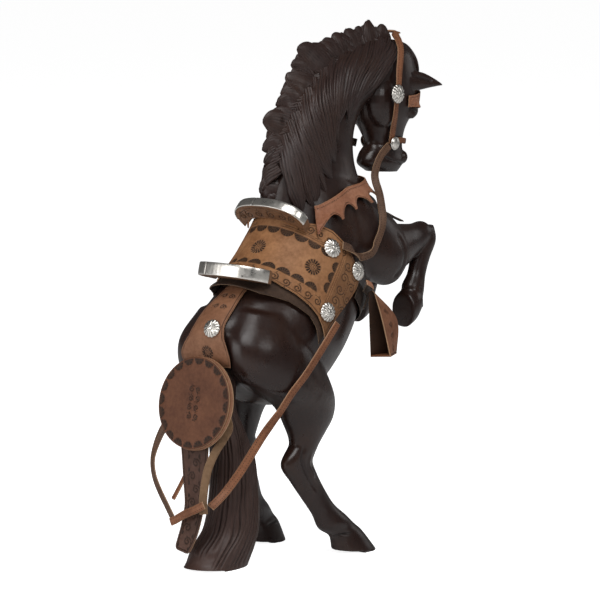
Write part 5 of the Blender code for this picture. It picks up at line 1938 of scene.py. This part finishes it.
@dataclass
class Saddle:
    """The leather on the rump, the skirt and the saddle leather."""

    trunk: Trunk
    leather: Outline = Outline(
        ((0, 87), (0.25, 92), (0.5, 97), (0.8, 103), (1, 103)),
        ((0, -34), (46, -35), (61, -36.5), (73, -39), (80, -43), (87, -49)),
        ((0, 15), (26, 16), (40, 21), (53, 22.5), (74, 20), (90, 14), (101, 10)),
    )
    skirt: Outline = Outline(
        ((0, 88), (1, 88)),
        ((0, -48), (24, -48), (34, -44.5), (44, -42), (66, -42), (76, -46), (88, -54)),
        ((0, 12), (40, 13), (75, 12), (88, 6)),
    )
    tongue: Stops = ((36, 8.5), (47, 8.5), (57, 9.5), (66, 11), (80, 12.2), (88, 15.5), (98, 24), (102, 26))
    lean: Stops = ((36, 4), (80, 0), (102, -2))

    def arc(self, degrees: Array) -> Array:
        """Millimetres round the trunk from its back to some turns.

        Args:
            degrees: The turns.

        Returns:
            The lengths.
        """
        turns = np.arange(-120.0, 121.0, 2.0)
        run = passed(self.trunk.place(-8.0, turns, 3.0))
        return np.interp(degrees, turns, run - run[len(run) // 2])

    @staticmethod
    def skirt_lift(along: Array, degrees: Array) -> Array:
        """How far the skirt rises over the tongue of the crupper.

        Args:
            along: Millimetres along the trunk line.
            degrees: The turn from the back.

        Returns:
            Millimetres off the trunk.
        """
        near = 1 - soft_step(np.abs(degrees - 4), 20, 32)
        kick = ramp(along, ((-47, 2.5), (-40, 0.5), (-36, 0.0)))
        return 0.5 + 2.0 * soft_step(-along, 18.0, 31.0) * near + kick

    def place_crupper(self, u: Array, v: Array, lift: Array) -> Array:
        """Places on the rump, from shares of the way back and to the right, and a lift.

        Args:
            u: Shares from the front.
            v: Shares from the left.
            lift: Millimetres off the under side.

        Returns:
            The places.
        """
        back = 36 + 66 * u
        degrees = (2 * v - 1) * ramp(back, self.tongue) + ramp(back, self.lean)
        return self.trunk.place(-back, degrees, CLEAR + lift)

    def place_skirt(self, u: Array, v: Array, lift: Array) -> Array:
        """Places on the skirt, from the same kind of numbers."""
        along, degrees = self.skirt.at(u, v)
        return self.trunk.place(along, degrees, self.skirt_lift(along, degrees) + lift)

    def place_leather(self, u: Array, v: Array, lift: Array) -> Array:
        """Places on the saddle leather, from the same kind of numbers."""
        along, degrees = self.leather.at(u, v)
        return self.trunk.place(along, degrees, SKIRT_LIFT + 0.1 + self.skirt_lift(along, degrees) + lift)

    def build(self) -> list[Thing]:
        """Makes the three leathers.

        Returns:
            The crupper, the skirt and the saddle leather.
        """
        rump = Sheet("crupper", CRUPPER, self.place_crupper, (66, 40), step=0.45)
        skirt = Sheet("saddle_skirt", SKIRT, self.place_skirt, (58, 142), 1.8, 1.1, 0.7)
        seat = Sheet("saddle_leather", SADDLE, self.place_leather, (60, 182), step=0.48, rounding=0.42)
        return [rump.build(self.tool_crupper), skirt.build(), seat.build(self.tool_seat)]

    def tool_crupper(self, tooling: Tooling, u: Array, v: Array) -> None:
        """Tools the leather on the rump with a line, a rosette and scrolls.

        Args:
            tooling: The leather laid out flat.
            u: Shares along it, not used.
            v: Shares across it, not used.
        """
        run = tooling.x[:, 0]
        tooling.press(band(tooling.near, 1.5, 0.26), 0.4, 0.9)
        tooling.rosette((run[int(len(run) * 0.9)], 1.6), 5.2, 14)
        for share, hand in product((0.12, 0.3, 0.45), (-1, 1)):
            tooling.scroll((run[int(len(run) * share)], hand * 2.9), 2.3, 90 * hand, hand, 0.8)

    def tool_seat(self, tooling: Tooling, u: Array, v: Array) -> None:
        """Tools the saddle leather with bands of fans, scrolls and rosettes.

        Args:
            tooling: The leather laid out flat.
            u: Shares along it.
            v: Shares across it.
        """
        along, degrees = self.leather.at(u, v)
        arc = self.arc(degrees)
        tooling.spots = np.stack([along.ravel(), arc.ravel()], 1)
        tooling.press(band(tooling.near, 1.6, 0.28), 0.4, 0.9)
        side = float(self.arc(70.0))
        tooling.press(soft_step(np.abs(arc), side + 4.6, side + 5.6) * 0.45, 0.12, 0.7)
        shares = np.linspace(0, 1, 9)
        for hand in Hand:
            h = hand.value
            for k in range(5):
                tooling.fan((7.4, h * (5.2 + 10.2 * k)), (-1, 0), 4.9)
                tooling.fan((-25.0, h * (5.2 + 10.2 * k)), (1, 0), 4.7)
            for k in range(3):
                tooling.fan((-17.0 + 8.4 * k, h * (side + 1.0)), (0, -h), 4.1)
            for k in range(7):
                tooling.scroll((-30.4, h * (6.0 + 8.0 * k)), 3.0, 180 if k % 2 else 0, h * (-1) ** k, 1.2)
            for off in (2.6, 4.2):
                tooling.line([(-31 + 45 * t, h * (side + off)) for t in shares], 0.2, 0.3, 0.75)
                tooling.line([(7.0 + off * 0.8, h * (8 + 46 * t)) for t in shares], 0.2, 0.3, 0.75)
            tooling.rosette((-10.0, h * float(self.arc(50.0))), 6.2)
            for k in range(5):
                tooling.scroll((-30.6 + 9.4 * k, h * (side + 10.0)), 4.0, 90 * h, h * (-1) ** k)
                tooling.scroll((-33.0 + 9.4 * k, h * (side + 19.5)), 3.8, -90 * h, -h * (-1) ** k)
            for k in range(6):
                tooling.scroll((14.2, h * (22.0 + 7.4 * k)), 2.7, 180, h * (-1) ** k)
        tooling.rosette((-10.0, 0.0), 6.2)


@dataclass
class Collar:
    """The breast collar: a band round the root of the neck with a scalloped lower edge."""

    scallops: int = 10
    reach: float = 143.6
    centre: Numbers = (108.0, 0.0, 248.5)
    tilt: float = 18.5
    top: float = 6.0
    low: float = -9.5
    bite: float = 6.5
    dip: float = 9.0
    clear: float = 0.9
    look: float = 52.0
    spread: Numbers = (3.8, 3.2)
    dots: float = 1.9

    def build(self, skin: Skin) -> list[Thing]:
        """Makes the collar and its dark tab.

        Args:
            skin: What it lies round.

        Returns:
            The two objects.
        """
        level, above = tilted(math.radians(self.tilt))
        centre = np.array(self.centre)
        turns, rises = np.linspace(-self.reach, self.reach, 61), np.linspace(-20.0, 8.0, 11)
        far = np.zeros((len(rises), len(turns)))
        for (i, rise), (j, turn) in product(enumerate(rises), enumerate(np.radians(turns))):
            way = level * math.cos(turn) + SIDEWAYS * math.sin(turn)
            far[i, j] = stood_off(skin, centre + above * rise, way, above, self.look, self.spread)
        far = (far + np.roll(far, 1, 1) + np.roll(far, -1, 1))[:, 1:-1] / 3

        def place(u: Array, v: Array, lift: Array) -> Array:
            """Places on the collar.

            Args:
                u: Shares from its lower edge.
                v: Shares from the left.
                lift: Millimetres off the under side.

            Returns:
                The places.
            """
            turn = (2 * v - 1) * self.reach
            notch = np.clip((np.abs(np.sin(v * self.scallops * math.pi)) - 0.2) / 0.8, 0, 1) ** 0.55
            low = self.low + self.bite * notch
            rise = low + (self.top - low) * u - self.dip * np.maximum(np.cos(np.radians(turn)), 0) ** 2
            row, column = (rise - rises[0]) / (rises[1] - rises[0]), (turn - turns[1]) / (turns[2] - turns[1])
            angle = np.radians(turn)[..., None]
            way = level * np.cos(angle) + SIDEWAYS * np.sin(angle)
            reach = between(far, row, column) + self.clear + lift
            return centre + above * rise[..., None] + way * reach[..., None]

        collar = Sheet("breast_collar", PALE, place, (14, 290), step=0.7).build(self.tool)
        path = ((174, 2, 231.5), (180, 3, 229.5), (189, 3.5, 225.5), (198, 4, 222))
        return [collar, Strap("collar_end", DARK, 4.0).run(path, [(0.3, 0, 1)])]

    def tool(self, tooling: Tooling, u: Array, v: Array) -> None:
        """Tools dots along the upper edge and a line along the lower one.

        Args:
            tooling: The band laid out flat.
            u: Shares along it, not used.
            v: Shares across it, not used.
        """
        dots = np.sin(tooling.y * 2 * math.pi / self.dots) > -0.2
        tooling.press(band(tooling.x[-1:] - tooling.x, 2.2, 0.4) * dots, 0.35, 0.85)
        tooling.press(band(tooling.x - tooling.x[:1], 1.3, 0.28), 0.35, 0.8)


@dataclass
class Bridle:
    """The headstall, the bands over the brow and the nose and the conchos of the head."""

    crown: Rows = (
        (176, 11.5, 281), (174.5, 14, 292), (171, 17.5, 305), (171.5, 17.5, 317),
        (175, 15.5, 332), (181, 12, 345), (189, 6, 351), (194, 0, 353.5),
    )
    nose: Rows = ((182.5, 11.5, 282.5), (190, 10, 282), (197, 6, 281), (199.5, 0, 281))
    brow_reach: float = 78.0
    brow_middle: Numbers = (184.0, 310.4)
    brow_look: float = 60.0
    brow_spread: Numbers = (1.5, 1.4)
    brow_grid: tuple[int, int] = (5, 27)
    conchos: Sequence[tuple] = (
        ("temple", (169.5, 20, 317), 6.8, 14, False),
        ("bit", (177, 14, 280.5), 4.8, 10, True),
    )

    def build(self, skin: Skin) -> list[Thing]:
        """Makes the bridle.

        Args:
            skin: The head and the mane.

        Returns:
            The objects.
        """
        made = [self.band(skin, "headstall", self.crown, 5.2), self.brow(skin)]
        made.append(self.band(skin, "nose_band", self.nose, 4.2))
        over = Skin(*frame_bodies("horse"), *made)
        for hand, (kind, spot, size, flutes, plain) in product(Hand, self.conchos):
            at, face = over.nearest(np.array(hand.mirrored([spot])[0], float))
            face = unit(unit(face) * 0.5 + SIDEWAYS * hand.value * 1.5)
            piece = Concho(size, 3.0 * size / CONCHO_RADIUS, flutes, plain)
            made.append(piece.build(f"{kind}_concho_{hand.word}", seated(over, at, face, size), face))
        return made

    @staticmethod
    def band(skin: Skin, name: str, half: Rows, width: float) -> Thing:
        """Makes a strap that runs over both sides of the head."""
        path, faces = laid(skin, [*half, *((f, -r, z) for f, r, z in half[-2::-1])], 0.6)
        return Strap(name, STRAP, width, step=0.6).run(path, faces, over=skin)

    def brow(self, skin: Skin) -> Thing:
        """Makes the band over the brow.

        Args:
            skin: The head and the mane.

        Returns:
            The object.
        """

        forward, up = self.brow_middle
        rows, columns = self.brow_grid

        def rise(turn: Array, level: Array) -> Array:
            """How high the band is at a turn from the front, from -1 below to 1 above."""
            return up + (4.2 + 3.8 * np.cos(turn) ** 6) * level - 0.6 * np.cos(turn) ** 2

        far = np.zeros(self.brow_grid)
        turns = np.radians(np.linspace(-self.brow_reach, self.brow_reach, columns))
        for (i, level), (j, turn) in product(enumerate(np.linspace(-1, 1, rows)), enumerate(turns)):
            way = np.array((math.cos(turn), math.sin(turn), 0.0))
            middle = np.array((forward, 0.0, rise(turn, level)))
            far[i, j] = stood_off(skin, middle, way, UPWARD, self.brow_look, self.brow_spread)

        def place(u: Array, v: Array, lift: Array) -> Array:
            """Places on the band.

            Args:
                u: Shares from its lower edge.
                v: Shares from the left.
                lift: Millimetres off the under side.

            Returns:
                The places.
            """
            turn = np.radians((2 * v - 1) * self.brow_reach)
            reach = between(far, u * (rows - 1), v * (columns - 1)) + CLEAR + lift
            spot = (forward + np.cos(turn) * reach, np.sin(turn) * reach, rise(turn, 2 * u - 1))
            return np.stack(np.broadcast_arrays(*spot), -1)

        def tool(tooling: Tooling, u: Array, v: Array) -> None:
            """Tools a run of dots along the edge."""
            dots = np.sin(tooling.y * 2 * math.pi / 1.7) > -0.1
            tooling.press(band(tooling.near, 1.5, 0.34) * dots, 0.3, 0.95)

        return Sheet("brow_band", PALE, place, (11, 70), step=0.5).build(tool)


def frame_bodies(*names: str) -> list[Thing]:
    """The plain objects of some nodes."""
    return [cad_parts[name] for name in names]


@dataclass
class SaddleConchos:
    """Three conchos on each side of the saddle and one on the rump."""

    spots: Sequence[tuple] = (("front", 9.5, 57.5), ("flap", 9.0, 97.0), ("rear", -32.5, 79.0))
    rump: Numbers = (-83.0, 5.0)
    rump_face: Numbers = (-0.92, 0.12, 0.35)
    rump_radius: float = 6.4

    def build(self, trunk: Trunk, over: Skin) -> list[Thing]:
        """Makes the conchos.

        Args:
            trunk: The trunk.
            over: What they stand on.

        Returns:
            The objects.
        """
        made = []
        for hand, (kind, along, degrees) in product(Hand, self.spots):
            turn = hand.value * degrees
            at = trunk.place(along, turn, 0)
            lengthways = trunk.place(along + 2, turn, 0) - trunk.place(along - 2, turn, 0)
            around_it = trunk.place(along, turn + 3, 0) - trunk.place(along, turn - 3, 0)
            face = unit(np.cross(lengthways, around_it))
            face = face * (-1 if np.dot(face, at - about_axis(along, turn, 0)) < 0 else 1)
            at = seated(over, at, face, CONCHO_RADIUS)
            made.append(Concho().build(f"saddle_concho_{kind}_{hand.word}", at, face))
        face = unit(self.rump_face)
        at = seated(over, trunk.place(*self.rump, 0.0), face, self.rump_radius)
        return made + [Concho(self.rump_radius, 2.82).build("rump_concho", at, face)]


@dataclass
class Stirrup:
    """A folded leather stirrup with a floor, open at the rear."""

    top: Rows = ((111, 43.5, 183), (112, 46.5, 184.6), (111, 50, 183))
    waist: Rows = ((116.5, 39.5, 163), (140.5, 46, 161.5), (117, 52, 163))
    bottom: Rows = ((122, 36.5, 135.5), (141, 45.5, 136.5), (122.5, 55, 137))

    def build(self, hand: Hand) -> Thing:
        """Makes the stirrup.

        Args:
            hand: The side.

        Returns:
            The object.
        """
        rows = smooth_rows([np.array(row, float).ravel() for row in (self.top, self.waist, self.bottom)], 32)
        half = np.concatenate([(0.0, 0.02, 0.05), np.linspace(0.1, 0.9, 26), (0.96,)])
        mirror = np.array((1.0, hand.value, 1.0))
        outer, inner = (np.array(side) * mirror for side in zip(*(self.ring(row, half) for row in rows)))
        inner[-3:] += UPWARD * 0.02
        x, y = lengths(outer)
        near = from_edge(x, y)
        tooling = Tooling(x, y, near)
        tooling.press(band(near, 1.5, 0.27), 0.35, 0.9)
        for sign, (k, row) in product((-1, 1), enumerate((24, 36, 47, 57))):
            column = outer.shape[1] // 2 + sign * 15
            tooling.scroll((x[row, column], y[row, column]), 2.5, 90 * sign, sign * (-1) ** k)
        height, stain = tooling.relief()
        away = unit(outer - inner)
        drop = edge_drop(near, 0.55)
        under, face = inner + away * (drop * 0.6)[..., None], outer + away * (height - drop)[..., None]
        shape = Shape()
        # The inside of the stirrup is darkened with painted shade.
        shape.leaf(under, face, underside_stain_and_shade=0.8, stain=stain, **edge_marks(near))
        self.floor(shape, inner[-1])
        return dress(shape.build("stirrup_" + hand.word), STRAP)

    @staticmethod
    def ring(row: Array, half: Array) -> tuple[list, list]:
        """The outside and the inside of the right stirrup at one height.

        Args:
            row: The inner edge, the fold and the outer edge there.
            half: Shares of the way from an edge to the fold.

        Returns:
            The places of both.
        """
        a, b, c = row.reshape(3, 3)
        inward = [np.cross(UPWARD, unit(way)) for way in (b - a, c - b)]
        inward = [unit(way) * np.sign(np.dot(way, (a + c) / 2 - b)) * LEATHER for way in inward]
        deep = (inward[0] + inward[1]) / (1 + np.dot(*inward) / LEATHER**2)
        bent = b * 0.9 + (a + c) * 0.05
        outer, inner = [], []
        for edge, shift, shares in ((a, inward[0], half), (c, inward[1], half[::-1])):
            if edge is c:
                outer.append(bent)
                inner.append(bent + deep)
            for t in shares:
                spot = edge + (b - edge) * t
                outer.append(spot)
                inner.append(spot + shift * (1 - t**8) + deep * t**8)
        return outer, inner

    @staticmethod
    def floor(shape: Shape, rim: Array) -> None:
        """Adds the floor of the stirrup.

        Args:
            shape: The stirrup.
            rim: The inside of its lower edge.
        """
        count = len(rim) // 2
        first, second = rim[:count], rim[: count : -1][:count]
        shares = np.linspace(0, 1, 12)[:, None, None]
        low = first[None] * (1 - shares) + second[None] * shares + UPWARD * 0.1
        shape.leaf(low, low + UPWARD * LEATHER)


@dataclass
class Harness:
    """The girth, the reins, the stirrups and the long straps."""

    right_rein: Rows = (
        (167, 16.5, 280), (160, 17, 276), (153.5, 17, 269.5), (148, 18.5, 260), (146, 23, 250.5),
        (142.5, 28, 244), (136.5, 35, 232), (130.5, 38, 223), (125, 39, 214.5), (117, 40, 209.5),
        (110.5, 40, 207.5), (100.5, 41, 210), (92, 41, 215), (86, 41, 218),
    )
    left_rein: Rows = (
        (171, -15.5, 280), (164, -15.5, 281.5), (152, -15, 282.5), (141, -14, 278), (130, -13, 270),
        (119, -14, 260), (109, -17, 249), (101, -22, 237), (95, -30, 226), (89, -36, 218),
    )
    stirrup_strap: Rows = ((104.5, 46.6, 190.4), (107, 47.2, 189.2), (109.5, 47, 187.8), (111, 46.3, 186.6))
    girth_end: Rows = (
        (109.5, 37, 187), (113, 37, 184.5), (115.5, 36.5, 181), (115, 35.5, 176.5), (111.5, 35, 171.5),
    )
    long_strap: Rows = (
        (68.4, 46.6, 166.8), (57, 45.5, 153), (36, 47.5, 134), (26, 45.5, 122), (21, 39, 110), (14, 30, 93),
    )
    girth_spans: Rows = ((-5, 12), (112, 136))
    long_ends: Sequence[Rows] = (
        ((0, 22.5, 70), (-12, 17, 54), (-23.5, 14.8, 46)),
        ((-3, 21, 76), (-16, 14, 64), (-24.5, 17.5, 48)),
    )

    def girth(self, trunk: Trunk) -> Thing:
        """Makes the girth under the belly.

        Args:
            trunk: The trunk.

        Returns:
            The object.
        """

        def place(u: Array, v: Array, lift: Array) -> Array:
            """Places on the girth, from shares along and round the trunk, and a lift."""
            along, degrees = (first + long * w for (first, long), w in zip(self.girth_spans, (u, v)))
            return trunk.place(along, np.where(degrees <= 180, degrees, degrees - 360), CLEAR + lift)

        return Sheet("girth", DARK, place, (12, 110), step=0.9).build()

    def reins(self, over: Skin) -> list[Thing]:
        """Makes the reins.

        Args:
            over: What they lie over.

        Returns:
            The objects.
        """
        low, faces = laid(over, self.right_rein[7:], LEATHER)
        faces = [(-0.2, 1.0, 0.2)] * 3 + [(-0.6, 0.8, 0.0)] * 4 + faces
        path = [*self.right_rein[:7], *low]
        right = Strap("rein_right", WORN).run(path, faces, over=over, clear=0.9 * LEATHER)
        left = Strap("rein_left", WORN).run(self.left_rein, [(0.0, -1.0, 0.1)], over=over, above=32.0)
        return [right, left]

    def straps(self, over: Skin) -> list[Thing]:
        """Makes the stirrups with their straps, the girth's ends and the long straps.

        Args:
            over: What they lie over.

        Returns:
            The objects.
        """
        made = []
        for hand, ends in zip(Hand, self.long_ends):
            h = hand.value
            paths = (self.stirrup_strap, self.girth_end, (*self.long_strap, *ends))
            short, end, long = (hand.mirrored(path) for path in paths)
            made.append(Stirrup().build(hand))
            made.append(Strap("stirrup_strap_" + hand.word, PALE, 4.6).run(short, [(0.5, h, 0.6)]))
            widths = (6.5, 6.5, 6.0, 5.0, 2.0)
            made.append(Strap("girth_end_" + hand.word, DARK).run(end, [(0.5, h, -0.5)], widths, over))
            long, _ = laid(over, long, 1.0, 5.0)
            faces = [(0, h, 0.1)] * 3 + [(-0.3, h, -0.2)] * 2
            faces += [(-0.7, h * 0.7, 0.1)] * 2 + [(-0.9, h * 0.5, 0.3)] * 2
            made.append(Strap("breeching_" + hand.word, STRAP, 5.8).run(long, faces, over=over))
        return made


@dataclass
class TailTack:
    """The leather disc behind the dock, the strap that hangs from it and the loops that tie it."""

    centre: Numbers = (-16.6, -2.0, 115.2)
    face: Numbers = (-0.978, 0.0, 0.208)
    hanging: Rows = (
        (-14.2, -3, 106), (-18.3, -2.5, 92), (-20.5, -1, 78), (-22, 0, 62),
        (-23, 0.5, 46), (-26, -1.5, 29), (-29.3, -4.4, 16.8), (-30, -5, 14.2),
    )
    widths: Numbers = (26, 26, 23.5, 20.5, 17.5, 16, 13.5, 8.0)
    right_loop: Rows = (
        (-12.8, 19, 110), (-12.5, 22, 99.5), (-19, 17, 86),
        (-24.5, 13.5, 72), (-27.5, 12, 53), (-27.5, 12.5, 42),
    )
    left_loop: Rows = (
        (-14.5, -26, 106), (-17, -34.5, 93), (-22, -38, 75),
        (-24.5, -33.5, 60), (-27.5, -21, 45), (-28, -15, 37),
    )
    cross: Rows = ((-30.6, -14.5, 34), (-31.2, -9, 36.5), (-31.4, -1, 41), (-31.2, 8, 45), (-30.2, 15.5, 49))

    def build(self, over: Skin) -> list[Thing]:
        """Makes the pieces.

        Args:
            over: What the disc stands on.

        Returns:
            The objects.
        """
        face = unit(self.face)
        centre = seated(over, np.array(self.centre), face, DISC_RADIUS, 0.4)
        made = [self.disc("crupper_disc_back", centre + SIDEWAYS * 1.2, face, DISC_RADIUS, CRUPPER, False)]
        made.append(self.disc("crupper_disc", centre + face * 1.7, face, DISC_RADIUS - 0.7, DISC, True))
        hanging, back = Strap("hanging_strap", HANGING, step=0.5), [-FORWARD]
        made.append(hanging.run(self.hanging, back, self.widths, tool=self.tool_hanging))
        made.append(Strap("loop_strap_right", SUEDE).run(self.right_loop, [(-0.8, 0.6, 0.0)]))
        faces = [(-1.0, 0.1, 0.0)] * 2 + [(-0.9, -0.3, 0.0)] * 4
        made.append(Strap("loop_strap_left", WORN).run(self.left_loop, faces))
        return made + [Strap("cross_strap", STRAP).run(self.cross, back)]

    @staticmethod
    def tool_hanging(tooling: Tooling) -> None:
        """Tools the hanging strap with a line, scrolls and small fans.

        Args:
            tooling: The strap laid out flat.
        """
        tooling.press(band(tooling.near, 1.7, 0.3), 0.4, 0.9)
        for k in range(9):
            spot, way = 14.0 + 9.0 * k, (-1) ** k
            tooling.scroll((spot, 1.6 * way), 3.3, 90 * way, way, 1.0)
            for hand in (-1, 1):
                tooling.fan((spot + 4.5, hand * 5.4), (0, -hand), 1.6, 3, 0.35)

    @staticmethod
    def disc(name: str, centre: Array, face: Array, radius: float, finish: Finish, tooled: bool) -> Thing:
        """Makes one layer of the disc.

        Args:
            name: The name of the piece.
            centre: The middle of its under side.
            face: The way it faces.
            radius: Its radius.
            finish: Its finish.
            tooled: Whether its face is stamped.

        Returns:
            The object.
        """
        side, other = aside(face)
        turns = around(260)
        reach = (1 - spaced(radius * 2, 0.8)[: int(radius / 0.8) + 3])[:, None] * 2 - 1
        reach = np.clip(reach, 0.01, 1.0) * radius
        x, y = np.cos(turns) * reach, np.sin(turns) * reach
        near = radius - np.hypot(x, y)
        tooling = Tooling(x, y, near)
        if tooled:
            for angle in around(20):
                way = np.array((math.cos(angle), math.sin(angle)))
                tooling.fan(way * (radius - 1.2), -way, 3.9, 3, 0.45)
            for row, column in product(range(4), (-1, 1)):
                spot = (2.9 * column, 6.2 * row - 9.3)
                tooling.scroll(spot, 2.2, 90 * column, column * (-1) ** row, 0.9)
        height, stain = tooling.relief()
        flat = centre + side * x[..., None] + other * y[..., None]
        top = flat + face * (LEATHER - edge_drop(near, 0.55) + height)[..., None]
        marks = {"stain": stain, **edge_marks(near, 0.7, 0.6)}
        first = {"cut_edge": 0.7}
        marks = {key: np.vstack([0 * mark[:1] + first.get(key, 0.0), mark]) for key, mark in marks.items()}
        shape = Shape()
        shape.grid(np.vstack([flat[:1], top]), wrap=True, ends=True, **marks)
        return dress(shape.build(name), finish)


@dataclass
class Studio:
    """The white sweep, the lights and the camera."""

    camera: Numbers = (-1.65733, 1.98103, 0.51091)
    toward: Numbers = (0.637434, -0.759664, -0.128796)
    lens: float = 222.857
    world: float = 0.085
    lamps: Sequence[tuple] = (
        ("key", (0.33, 1.5, 0.34), 1.3, 15.0),
        ("top", (-0.9, 0.9, 1.9), 1.3, 32.0),
        ("side", (-1.5, -0.17, 0.92), 0.35, 3.5),
        ("front", (-0.45, -1.55, 0.6), 0.6, 1.0),
    )
    aim: Numbers = (0.0, 0.0, 0.19)

    def build(self) -> None:
        """Sets everything up."""
        floor = bpy.data.meshes.new("floor")
        floor.from_pydata([(-20, -20, 0), (20, -20, 0), (20, 20, 0), (-20, 20, 0)], [], [(0, 1, 2, 3)])
        floor.materials.append(Paper().material())
        linked("floor", floor)
        world = bpy.data.worlds.new("studio")
        world.use_nodes = True
        background = world.node_tree.nodes["Background"]
        background.inputs["Color"].default_value = (1.0, 1.0, 1.0, 1.0)
        background.inputs["Strength"].default_value = self.world
        scene = bpy.context.scene
        scene.world = world
        scene.view_settings.view_transform = "Standard"
        for name, at, size, power in self.lamps:
            light = bpy.data.lights.new(name, "AREA")
            light.size, light.energy = size, power
            self.turned(linked(name, light), at, Vector(self.aim) - Vector(at))
        camera = bpy.data.cameras.new("photo_camera")
        camera.lens, camera.sensor_width, camera.clip_end = self.lens, 36.0, 100.0
        scene.camera = linked("photo_camera", camera)
        self.turned(scene.camera, self.camera, Vector(self.toward))

    @staticmethod
    def turned(obj: Thing, at: Numbers, way: Vector) -> None:
        """Puts a lamp or the camera in its place, looking one way."""
        obj.location = at
        obj.rotation_euler = way.to_track_quat("-Z", "Y").to_euler()


def report(pieces: Sequence[Thing]) -> None:
    """Reports each of some pieces."""
    for piece in pieces:
        LOG.info("%s: %d faces", piece.name, len(piece.data.polygons))


def main() -> None:
    """Builds every piece, the stage and the lights, and reports each piece."""
    logging.basicConfig(level=logging.INFO)
    horse = Horse().build()
    skin = Skin(*horse)
    trunk = Trunk(Skin(*frame_bodies("horse")))
    saddle = Saddle(trunk).build()
    report(horse + saddle)
    under = Skin(*horse, *saddle)
    report(Board("pommel", (59.5, 0.0, 235.5), (-0.707, 0.0, 0.707), 29.0, 17.5, 7.0, 0.42).build(under))
    report(Board("cantle", (23.0, 0.0, 200.6), (-0.97, 0.0, 0.243), 27.0, 22.0, 9.0, 0.36).build(under))
    collar = Collar().build(Skin(*frame_bodies("horse", "saddle_leather", "saddle_skirt")))
    report(collar + Bridle().build(skin))
    harness = Harness()
    girth = harness.girth(trunk)
    reins = harness.reins(Skin(*horse, collar[0], saddle[2]))
    straps = harness.straps(Skin(*horse, saddle[1], saddle[2], girth))
    report([girth, *reins, *straps])
    report(TailTack().build(Skin(*frame_bodies("horse", "crupper"))))
    long_straps = [piece for piece in straps if piece.name.startswith("breeching")]
    report(SaddleConchos().build(trunk, Skin(*horse, *saddle, collar[0], *reins, *long_straps)))
    Studio().build()


if __name__ == "__main__":
    main()
